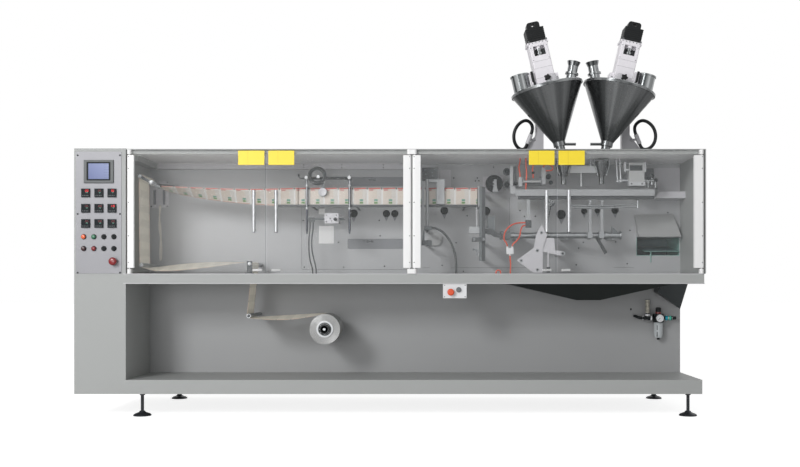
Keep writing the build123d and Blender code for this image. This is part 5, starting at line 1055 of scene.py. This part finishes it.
# Painted shade: the lower roller's end, under the table, is dark.
piece("lower_roller_end", ends["lower"], shaded_steel)
SENSOR_X, SENSOR_Z = POST - 497, TABLE + 476
sensor_y = front_face(SENSOR_X, SENSOR_Z, ("print_station",))
piece("sensor_face", merged([
    turned([(0, 0.8), (9.6, 0.8), (10.2, 0.2), (10.2, -0.4), (0, -0.4)],
           (SENSOR_X, sensor_y, SENSOR_Z)),
    turned([(14, 5.6), (17, 7.0), (22, 7.0), (24.5, 5.2), (24.5, 4.6), (14, 4.6)],
           (SENSOR_X, sensor_y + 5, SENSOR_Z), 40)]), plate_paint)

# %% [markdown]
# Knobs, washers, chain links and pins of the stations. They are small turned parts on faces
# that look at the doors, so each row of the table is a name, a profile, how far its face
# lies from the film, its sides, its finish and slot, and places (x, z, size) from the post
# and the table.

# %% Station details
KNOB = [(0, 18), (9, 18), (13, 14.5), (14, 9), (11, 4.5), (11, -0.4), (0, -0.4)]
WASHER = [(5.2, -0.4), (5.2, 1.6), (6.0, 2.2), (9.6, 2.2), (10.4, 1.4), (10.4, -0.4)]
PIN = [(0, 2.0), (3.6, 1.6), (4.6, 0), (4.6, -8), (0, -8)]
LINK = [(0, 3.4), (2.4, 2.8), (3.6, 1.2), (3.8, -0.5), (2.6, -2.4), (0, -3.0)]
CAM_PLACES = [(655, 77, 1.0), (748, 135, 1.0), (748, 24, 0.9), (772, 238, 0.9)]
knife_links = [(397, z, 1.15) for z in np.linspace(233, 381, 17)]
t = np.linspace(0, 1, 19)
drive_links = list(zip(831 + (797 - 831) * t, 411 + (240 - 411) * t, np.full(19, 1.1)))
TURNED_DETAILS = (
    ("opener_knobs", KNOB, -12, 28, black_plastic, "dark_plastic",
     [(575, 596, 1.15), (575, 519, 1.15), (621, 526, 0.8), (817, 566, 1.1), (829, 531, 0.9),
      (727, 589, 0.7)]),
    ("cam_washers", WASHER, -50, 28, ground_steel, "steel", CAM_PLACES + [(895, 118, 1.25)]),
    ("cam_pins", PIN, -50, 28, screw_black, "steel", CAM_PLACES + [(895, 118, 1.2)]),
    ("knife_pins", WASHER, -75, 28, ground_steel, "steel",
     [(378, 140, 0.8), (396, 133, 0.8), (398, 112, 0.7), (366, 252, 0.7), (400, 252, 0.7),
      (380, 198, 0.7), (436, 198, 0.6)]),
    ("knife_chain_links", LINK, -62, 14, light_alloy, "steel", knife_links),
    ("drive_chain_links", LINK, -31, 14, screw_black, "steel", drive_links),
    ("wheel_links", [(5.4, 0), (5.4, 4), (8.6, 4), (8.6, 0)], -31, 28, light_alloy, "steel",
     [(824, 404, 1.0), (838, 418, 1.0), (827, 424, 0.9)]),
    ("coder_dial", [(6.2, 0), (6.2, 3), (9.8, 3), (9.8, 0)], -94, 28, screw_black, "steel",
     [(-418, 314, 1.0)]),
    ("coder_screws", [(0, 1.6), (3.0, 1.2), (3.6, 0), (0, 0)], -80, 28, screw_black, "steel",
     [(-470, 338, 1.0), (-412, 338, 1.0), (-470, 300, 1.0), (-448, 318, 1.1),
      (-440, 304, 0.9)]),
    ("valve_box_screws", [(0, 2.0), (3.4, 1.5), (4.4, 0), (0, 0)], -44, 28, screw_black, "steel",
     [(1295, 522, 1.0), (1355, 522, 1.0)]),
    ("tap_levers", KNOB, -8, 28, screw_black, "dark_plastic",
     [(1400, 556, 0.75), (1422, 570, 0.8), (1442, 546, 0.75)]),
)
for name, profile, y, sides, finish, slot, places in TURNED_DETAILS:
    shapes = [turned([(r * size, h * size) for r, h in profile],
                     (POST + x, FILM + y, TABLE + z), sides) for x, z, size in places]
    piece(name, merged(shapes), finish, slot=slot)
print("turned details:", sum(len(row[-1]) for row in TURNED_DETAILS))

# %% [markdown]
# The other small parts of the stations: blocks on the clamp bar, the air cylinder, the
# band of the valve box and the rods that hold the funnels. Then pale strips along the front
# edges of the table and the niche as a painted highlight, and where two clear doors meet,
# a dark strip and a pale one as a painted shadow and a painted highlight.

# %% Blocks, cylinder, rods, and painted edge light
blocks = [plate(18, 18, 12, station((x, -44, z)), 2, 1)
          for x, z in ((-589, 558), (-341, 558), (-520, 562))]
piece("clamp_bar_blocks", merged(blocks), light_alloy)
barrel = [(0, 0), (9, 0), (9, 6), (7.4, 7), (7.4, 46), (9, 47), (9, 55), (7.4, 56), (7.4, 96),
          (9, 97), (9, 103), (0, 103)]
piece("air_cylinder", lathe(barrel, station((666, -37, 535)), axis=(1, 0, 0), sides=28),
      light_alloy)
piece("valve_box_band", plate(74, 31, 1.0, station((1321, -40, 614)), 2, 0.3), shaded_steel)
ROD = ((46, -16, 672), (44, -17, 640), (34, -20, 600), (24, -22, 572))
rods = [tube(station([(x + way * out, y, z) for out, y, z in ROD]), 3.4, sides=12)
        for x in (906, 1127) for way in (-1, 1)]
piece("funnel_rods", merged(rods), ground_steel)
# Painted highlight: pale strips along the front edges of the table and the niche.
highlight_strips = [plate(RIGHT - INNER_LEFT + 30, 2.6, 0.4, ((RIGHT + INNER_LEFT) / 2, FRONT, z), 0.6, 0.1)
        for z in (TABLE - 1.8, NICHE_TOP + 3.5)]
piece("table_edge_highlights", merged(highlight_strips), plate_paint, slot="body_paint")
# Painted light: where two doors meet, a dark strip and a pale one stand for the shadow and the
# highlight along the sheets' edges.
for door, edge_x in zip(DOORS, (-696.5, -689.5, 929.5, 936.5)):
    piece(f"door_edge_{door}", plate(1.6, 681, 0.4, (edge_x, DOOR_FACE, 1153.5), 0.3, 0.1),
          door_edge_shadow if door % 2 else plate_paint, body=f"door_{door}", slot="clear_acrylic")

# %% [markdown]
# The filter regulator's details: the gauge's white face with its needle, the ribs of the
# bowl and of the knob, and the turned rings of the silencer. Their places are given from
# the middle of the regulator.

# %% Air unit
GAUGE = AIR + (0, -45, 0)
SILENCER = AIR + (-65, 0, 0)
BOWL_RADIUS = 25.5
piece("gauge_face", turned([(0, 0.6), (22.2, 0.6), (23, -0.3), (0, -0.3)], GAUGE, 48),
      white_plastic, slot="white_plastic")
piece("gauge_bezel", turned([(23.0, -0.5), (23.2, 2.2), (24.4, 2.2), (25.4, 0.5), (25.4, -3),
                             (23.0, -3)], GAUGE, 48), black_plastic, slot="dark_plastic")
scale = [turned([(0, 1.0), (1.0, 1.0), (1.0, 0.3), (0, 0.3)],
                GAUGE + (16 * math.cos(t), 0, 16 * math.sin(t)), 8)
         for t in np.radians(np.linspace(-225, 45, 11))]
needle = tube(GAUGE + np.array([(3, -1.6, 2), (-4, -1.6, -4), (-12, -1.6, -11)]), 0.9, sides=8)
piece("gauge_scale", merged([*scale, needle]), screw_black, slot="dark_plastic")
rib = np.array([(BOWL_RADIUS, 0), (BOWL_RADIUS + 1.2, 1), (BOWL_RADIUS + 1.2, 4), (BOWL_RADIUS, 5)])
ribs = [lathe(rib + (0, z), AIR, sides=40) for z in range(-54, -95, -10)]
piece("bowl_ribs", merged(ribs), bowl_plastic, slot="white_plastic")
slits = [plate(6, 30, 6, AIR + (-12, -19.5, z), 2, 0.5) for z in (-58, -97)]
piece("bowl_slits", merged(slits), grey_steel, slot="dark_plastic")
FITTINGS = (("white", white_plastic, [[(8, -40), (14.8, -40), (14.8, -49), (8, -49)],
                                      [(8, -88), (13, -88), (13, -97), (8, -97)]]),
            ("blue", teal_plastic, [[(6, 40), (12.6, 40), (13.8, 43), (13.8, 53), (12.6, 56),
                                     (6, 56)]]),
            ("cream", cream_metal, [[(5, 56), (8.4, 56), (8.4, 64), (5, 64)]]),
            ("green", green_plastic, [[(6, 64), (12, 64), (13.4, 66), (13.4, 76), (12, 78),
                                       (6, 78)]]),
            ("nut", bright_steel, [[(6, 78), (11, 78), (11, 86), (6, 86)]]),
            ("end", black_plastic, [[(0, 86), (9, 86), (10, 90), (10, 104), (8, 108), (0, 108)]]))
for name, finish, profiles in FITTINGS:
    shapes = [lathe(profile, AIR, axis=(1, 0, 0), sides=26) for profile in profiles]
    piece(f"air_fitting_{name}", merged(shapes), finish, slot="white_plastic")
elbow = [(-92, 0, 0), (-108, 0, 1), (-122, 4, 4), (-131, 14, 8), (-134, 28, 10), (-134, 44.5, 10)]
piece("air_elbow", tube(AIR + np.array(elbow), 8.5, sides=18), black_plastic, slot="dark_plastic")
piece("silencer_nut", lathe([(8, 12), (14.5, 12), (14.5, 24), (8, 24)], SILENCER, sides=6),
      white_plastic, slot="white_plastic", smooth=False)
nub = [(0, -131), (7.6, -131), (8.4, -128), (8.4, -119), (0, -119)]
piece("bowl_nub", lathe(nub, AIR, sides=24), black_plastic, slot="dark_plastic")
flutes = [slab(2.4, 2.4, 23, AIR + (15.4 * math.cos(t), 15.4 * math.sin(t), 37), 1.0, 0.4)
          for t in np.linspace(0, 2 * np.pi, 18, endpoint=False)]
piece("knob_flutes", merged(flutes), black_plastic, slot="dark_plastic")
bumps = [lathe([(11.6, z), (13.2, z + 2), (13.2, z + 4.5), (11.6, z + 6.5)], SILENCER, sides=26)
         for z in range(30, 106, 8)]
piece("silencer_rings", merged(bumps), cream_metal)

# %% [markdown]
# The fillers lean thirteen degrees away from each other. Their small parts are made in the
# filler's own place, with its origin in the middle of the hopper's rim, and then leaned.

# %% Filler details
LEAN = math.radians(13)
RIM_OUT, RIM_UP = 212, 382


def filler_piece(name, side, shapes, finish, **options):
    """One piece of the left (-1) or the right (1) filler, from shapes in its own place."""
    points, faces = merged(shapes)
    x, y, z = points.T
    turn = side * LEAN
    leaned = np.stack([x * math.cos(turn) + z * math.sin(turn), y,
                       z * math.cos(turn) - x * math.sin(turn)], -1)
    place = (FILLER_MIDDLE + side * RIM_OUT, FILM, ROOF + RIM_UP)
    piece(f"{name}_{FILLERS[side]}", (leaned + place, faces), finish, **options)


def bolts(places, radius, y):
    """Domed bolt heads at (x, z) places on a front face."""
    dome = [(0, 0.55 * radius), (0.7 * radius, 0.45 * radius), (radius, 0.1 * radius),
            (radius, -0.4), (0, -0.4)]
    return [turned(dome, (x, y, z), 14) for x, z in places]


GEARBOX_FACE, FLANGE_FACE = -55, -58
star = np.linspace(0, 2 * np.pi, 60, endpoint=False)
star_radius = 17 + 3.2 * np.cos(5 * star)
STAR_ROWS = ((4, 100), (18, 100), (20, 103), (20, 112), (17, 116), (4, 117))
star_knob = np.stack([np.stack([r * star_radius / 20 * np.cos(star), np.full(60, -y),
                                r * star_radius / 20 * np.sin(star)], -1) for r, y in STAR_ROWS])
coupling = [(0, 176.5), (18, 176.5), (18, 186), (13.4, 187), (13.4, 196), (20, 197), (20, 207),
            (13.4, 208), (13.4, 216), (17, 217), (17, 231.5), (0, 231.5)]
# Painted shade: a dark back and sides inside the gearbox's window, which the lamps barely reach.
window = [plate(65, 55, 0.6, (0, -16, 204), 1, 0.1)]
window += [plate(0.8, 55, 38.5, (x, -16, 204), 0.2, 0.1) for x in (-32.4, 32.4)]
seams = [plate(109, 0.9, 0.4, (0, GEARBOX_FACE, z), 0.3, 0.1) for z in (60, 118, 158)]
fins = [slab(108.5, 108.5, 5, (0, 0, z), 5, 1.2) for z in range(290, 346, 11)]
jaw = [(0, 0), (31, 0), (33, 3), (33, 9), (29, 13), (18, 15), (0, 15)]
nut = [(0, -1), (11.5, -1), (13, 1), (13, 15), (11, 18), (0, 18)]
for side in FILLERS:
    heads = (bolts([(x, 266) for x in range(-50, 51, 20)], 3.4, GEARBOX_FACE)
             + bolts([(x, z) for x in (-46, 46) for z in (168, 240)], 3.0, GEARBOX_FACE)
             + bolts([(side * -66, 46)], 4.5, GEARBOX_FACE)
             + bolts([(-50, 277), (50, 277)], 4.0, FLANGE_FACE))
    filler_piece("gearbox_bolts", side, heads, screw_zinc)
    filler_piece("gearbox_window_shade", side, window, shaded_steel, slot="dark_plastic")
    filler_piece("coupling", side, [lathe(coupling, (0, -35, 0), sides=40)], bright_steel)
    filler_piece("gearbox_joints", side, seams, joint_line, slot="white_paint")
    filler_piece("motor_fins", side, fins, motor_black, slot="black_paint")
    # The lid's quick clamp: a rounded bright jaw, a star knob with a lever, a hexagon nut.
    clamp = [slab(86, 26, 12, (side * -8, -112, 6), 8, 2), turned(jaw, (side * -24, -84, 34), 40)]
    filler_piece("lid_clamp", side, clamp, plate_paint)
    grip = [capped(star_knob + (side * -2, 0, 46)),
            slab(15, 12, 62, (side * 76, -70, 44), 5, 2.0),
            slab(12, 10, 26, (side * 72, -70, 18), 4, 1.5)]
    filler_piece("star_knob", side, grip, motor_black, slot="black_paint")
    filler_piece("hexagon_nut", side, [turned(nut, (side * -2, -100, 20), 6)], ground_steel,
                 smooth=False)

# %% [markdown]
# The small switch box under the table: a collar under the mushroom button, another round
# the selector, and a screw in each corner.

# %% Switch box
BOX_FACE = FRONT + 5
piece("stop_collar", turned([(0, 0), (17, 0), (17.4, 1), (16.6, 3.4), (12, 4), (0, 4)],
                            (POST + 242, BOX_FACE, NICHE_TOP - 46), 36),
      screw_black, slot="dark_plastic")
piece("selector_collar", turned([(12.2, 0), (14.6, 0.4), (14.2, 3.2), (12.6, 4.2), (12.2, 4.2)],
                                (POST + 287, BOX_FACE, NICHE_TOP - 33), 32),
      screw_black, slot="dark_plastic")
small_head = [(0, 1.2), (2.6, 1.0), (3.4, -0.2), (0, -0.2)]
piece("switch_box_screws", merged([turned(small_head, (POST + x, BOX_FACE, NICHE_TOP + z), 14)
                                   for x in (207, 323) for z in (-72, -8)]), screw_zinc)

# %% [markdown]
# The control panel: six round-head screws, and two rows of four buttons. A button is a
# collar with a lens that lights up, or with a flat cap that carries a grip to turn it.

# %% Panel screws and buttons
round_head = [(0, 2.6), (2.5, 2.5), (4.6, 1.7), (5.4, 0.0), (5.4, -0.4), (0, -0.4)]
piece("panel_screws", merged([turned(round_head, (x, PANEL_FACE, z), 20)
                              for x in (-1748, -1511) for z in (1468, 1140, 811)]), screw_black)
collar = [(0, 0), (15, 0), (15, 1.2), (14.4, 4.0), (13.2, 5.2), (12.6, 5.2), (12.6, 4.6), (0, 4.6)]
lens = [(0, 4.6), (12.4, 4.6), (12.4, 8.5), (11.2, 12), (8.4, 14), (4, 15), (0, 15)]
turner = [(0, 4.6), (10.8, 4.6), (10.8, 9.5), (10.2, 10.6), (8.5, 10.9), (6.5, 10.2), (0, 10.0)]
places = [(COLUMN_LEFT + x, PANEL_FACE, TABLE + z) for z in (206, 140) for x in (56, 113, 169, 225)]
rims = piece("button_collars", merged([turned(collar, at) for at in places]), black_plastic,
             slot="button_plastic")
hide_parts("push_buttons")
CAPS = (orange_lens, green_lens, None, None, maroon_cap, red_cap, None, None)
for number, (finish, (x, y, z)) in enumerate(zip(CAPS, places), 1):
    shapes = [turned(lens if finish else turner, (x, y, z))]
    if not finish:
        shapes.append(plate(5, 19, 5, (x, y - 9.6, z), 1.6, 0.8))
    piece(f"button_cap_{number}", merged(shapes), finish or black_plastic, slot="button_plastic")
mushroom = [(0, 0), (14, 0), (14, 16), (20, 17), (22.3, 20), (22.5, 24), (21.5, 29), (18, 33),
            (12, 35.4), (0, 36)]
piece("stop_button_head", turned(mushroom, (COLUMN_LEFT + 225, PANEL_FACE, TABLE + 68), 48),
      stop_red, slot="button_plastic")

# %% [markdown]
# A seven-segment digit is seven short bars. Which bars are lit for a digit is a row of ones
# and zeros, so a whole display is one list of bars, kept where the row says one. The sizes
# of the bars are shares of a digit's height.

# %% Lit digits of the temperature controllers
def glow(name, hex_code, strength):
    """A lit surface: its own colour, and as much light as an indicator gives."""
    material, tree, shader, place = new_finish(name)
    flicker = add(tree, "ShaderNodeTexNoise", {"Vector": place, "Scale": 400.0})
    soft = add(tree, "ShaderNodeMapRange", {"Value": flicker.outputs["Fac"], "To Min": 0.3,
                                            "To Max": 0.5})
    plug(tree, shader, {"Base Color": srgb(hex_code), "Emission Color": srgb(hex_code),
                        "Emission Strength": strength, "Roughness": soft.outputs[0]})
    return material


red_glow = glow("red_indicator", "E01B22", 1.1)
dim_glow = glow("dim_red_indicator", "6E1A22", 0.35)
green_glow = glow("green_indicator", "5FA08C", 0.5)
SEGMENTS = {"0": "1110111", "1": "0010010", "2": "1011101", "3": "1011011", "5": "1101011",
            "8": "1111111"}
BARS = ((0, 2, 1), (-1, 1, 0), (1, 1, 0), (0, 0, 1), (-1, -1, 0), (1, -1, 0), (0, -2, 1))
PITCH, STEP, BAR, LEVEL_BAR, UPRIGHT_BAR = 0.72, 0.24, 0.12, 0.40, 0.42


def digits(text, at, height):
    """The lit bars of a short number, centred on a point of the panel."""
    bars = []
    for index, sign in enumerate(text):
        x = at[0] + (index - (len(text) - 1) / 2) * (height * PITCH)
        for (bx, bz, level), lit in zip(BARS, SEGMENTS[sign]):
            if lit == "1":
                size = (LEVEL_BAR, BAR) if level else (BAR, UPRIGHT_BAR)
                spot = (x + bx * height * STEP, at[1], at[2] + bz * height * STEP)
                bars.append(plate(height * size[0], height * size[1], 0.4, spot, 0.2, 0.1))
    return bars


BEZEL_FACE = PANEL_FACE - 8
WINDOW = BEZEL_FACE + 1.5
READINGS = ("120", "85", "50", "135", "128", "110", "150", "150", "120")
IN_USE = (1, 0, 1, 0, 0, 1, 0, 0, 0)
controls = [(COLUMN_LEFT + x, TABLE + z) for z in (451, 365, 280) for x in (68, 142, 215)]
bright, dim, green, keys = [], [], [], []
for (x, z), reading, in_use in zip(controls, READINGS, IN_USE):
    (bright if in_use else dim).extend(digits(reading, (x + 4, WINDOW, z + 12), 11.5))
    green += digits(reading, (x + 6, WINDOW, z + 2.2), 6)
    keys += [plate(6, 4.5, 1.4, (x - 14 + 9.4 * k, BEZEL_FACE, z - 15), 1, 0.4) for k in range(4)]
for name, bars, finish in (("lit_digits", bright, red_glow), ("dim_digits", dim, dim_glow),
                           ("set_digits", green, green_glow)):
    piece(name, merged(bars), finish, slot="button_plastic", smooth=False)
piece("controller_keys", merged(keys), grey_plastic, slot="dark_plastic")
print("digit bars:", len(bright), "lit,", len(dim), "dim and", len(green), "green")

# %% [markdown]
# The operator display is a lit screen behind a dark mask. Its picture is a blue-grey page
# with a few fields, drawn by steps of the place on the screen, and plainer than a real
# one; the page grows lighter towards its top right, a painted sheen.

# %% Operator display
SCREEN_X = (COLUMN_LEFT + 74, COLUMN_LEFT + 208)
SCREEN_Z = (TABLE + 520, TABLE + 624)
ROWS, ROW_LINE, FIELD_LEFT, FAINT = 7.0, 0.12, 0.72, 0.35
screen, tree, shader, place = new_finish("display_page")
split = add(tree, "ShaderNodeSeparateXYZ", {"Vector": place})
tall, wide = (add(tree, "ShaderNodeMapRange", {"Value": split.outputs[way], "From Min": low * MM,
                                               "From Max": high * MM}).outputs[0]
              for way, (low, high) in (("Z", SCREEN_Z), ("X", SCREEN_X)))
# Painted sheen: the page is lighter towards the top and the right.
sheen = add(tree, "ShaderNodeMath", {0: tall, 1: wide}, operation="ADD")
half = add(tree, "ShaderNodeMath", {0: sheen.outputs[0], 1: 0.5}, operation="MULTIPLY")
page = add(tree, "ShaderNodeMix", {"Factor": half.outputs[0], "A": srgb("56618C"),
                                   "B": srgb("7C87AC")}, data_type="RGBA")
rows = add(tree, "ShaderNodeMath", {0: tall, 1: ROWS}, operation="MULTIPLY")
row_place = add(tree, "ShaderNodeMath", {0: rows.outputs[0]}, operation="FRACT")
line = add(tree, "ShaderNodeMath", {0: row_place.outputs[0], 1: ROW_LINE}, operation="LESS_THAN")
right_part = add(tree, "ShaderNodeMath", {0: wide, 1: FIELD_LEFT}, operation="GREATER_THAN")
field = add(tree, "ShaderNodeMath", {0: line.outputs[0], 1: right_part.outputs[0]},
            operation="MULTIPLY")
faint = add(tree, "ShaderNodeMath", {0: field.outputs[0], 1: FAINT}, operation="MULTIPLY")
picture = add(tree, "ShaderNodeMix", {"Factor": faint.outputs[0], "A": page.outputs["Result"],
                                      "B": srgb("3F4866")}, data_type="RGBA").outputs["Result"]
plug(tree, shader, {"Base Color": picture, "Emission Color": picture, "Emission Strength": 0.18,
                    "Roughness": 0.2})
width, height = SCREEN_X[1] - SCREEN_X[0], SCREEN_Z[1] - SCREEN_Z[0]
middle = np.array((sum(SCREEN_X) / 2, BEZEL_FACE + 2, sum(SCREEN_Z) / 2))
piece("display_mask", plate(width, height, 0.5, middle, 2, 0.2), window_black, slot="dark_plastic")
piece("display_screen", plate(width - 20, height - 17, 0.4, middle - (0, 0.5, 0), 1, 0.1), screen,
      slot="dark_plastic")

# %% [markdown]
# The studio: a white backdrop and floor, a wide soft lamp in front and above, a weaker one
# low in front, and weak light from everywhere. The camera and mirrors see the backdrop as
# plain white.

# %% Studio
SKY_LIGHT, FLOOR_REACH, FLOOR_GLOW, GLOW_SHARE = 0.36, 30, 2.38, 0.35
world = bpy.data.worlds.new("studio")
bpy.context.scene.world = world
world.use_nodes = True
tree = world.node_tree
tree.nodes.clear()
paths = add(tree, "ShaderNodeLightPath").outputs
seen = add(tree, "ShaderNodeMath", {0: paths["Is Camera Ray"], 1: paths["Is Glossy Ray"]},
           operation="MAXIMUM")
seen = add(tree, "ShaderNodeMath", {0: seen.outputs[0], 1: paths["Is Transmission Ray"]},
           operation="MAXIMUM")
level = add(tree, "ShaderNodeMapRange", {"Value": seen.outputs[0], "To Min": SKY_LIGHT,
                                         "To Max": 1.0})
sky = add(tree, "ShaderNodeBackground", {"Color": (1, 1, 1, 1), "Strength": level.outputs[0]})
add(tree, "ShaderNodeOutputWorld", {"Surface": sky.outputs[0]})

floor_finish = bpy.data.materials.new("white_studio_floor")
floor_finish.use_nodes = True
tree = floor_finish.node_tree
tree.nodes.clear()
matte = add(tree, "ShaderNodeBsdfDiffuse", {"Color": (0.92, 0.92, 0.92, 1)})
white = add(tree, "ShaderNodeEmission", {"Color": (1, 1, 1, 1), "Strength": FLOOR_GLOW})
paths = add(tree, "ShaderNodeLightPath").outputs
part_white = add(tree, "ShaderNodeMath", {0: paths["Is Camera Ray"], 1: GLOW_SHARE},
                 operation="MULTIPLY")
mixed = add(tree, "ShaderNodeMixShader", {"Fac": part_white.outputs[0], 1: matte.outputs[0],
                                          2: white.outputs[0]})
add(tree, "ShaderNodeOutputMaterial", {"Surface": mixed.outputs[0]})
floor_mesh = bpy.data.meshes.new("studio_floor")
floor_mesh.from_pydata([(x * FLOOR_REACH, y * FLOOR_REACH, 0)
                        for x, y in ((-1, -1), (1, -1), (1, 1), (-1, 1))], [], [(0, 1, 2, 3)])
floor_mesh.materials.append(floor_finish)
floor = bpy.data.objects.new("studio_floor", floor_mesh)
bpy.context.scene.collection.objects.link(floor)


def lamp(name, at, target, size, watts):
    """A square soft lamp that faces a point."""
    data = bpy.data.lights.new(name, "AREA")
    data.shape = "SQUARE"
    data.size = size
    data.energy = watts
    light = bpy.data.objects.new(name, data)
    light.location = at
    light.rotation_euler = (Vector(target) - Vector(at)).to_track_quat("-Z", "Y").to_euler()
    bpy.context.scene.collection.objects.link(light)


lamp("front_softbox", (-4.6, -8.2, 4.4), (0.1, 0.0, 0.9), 2.2, 405)
lamp("low_fill", (-2.2, -7.6, 0.9), (0.3, 0.0, 1.1), 3.0, 120)
bpy.context.scene.view_settings.view_transform = "Standard"
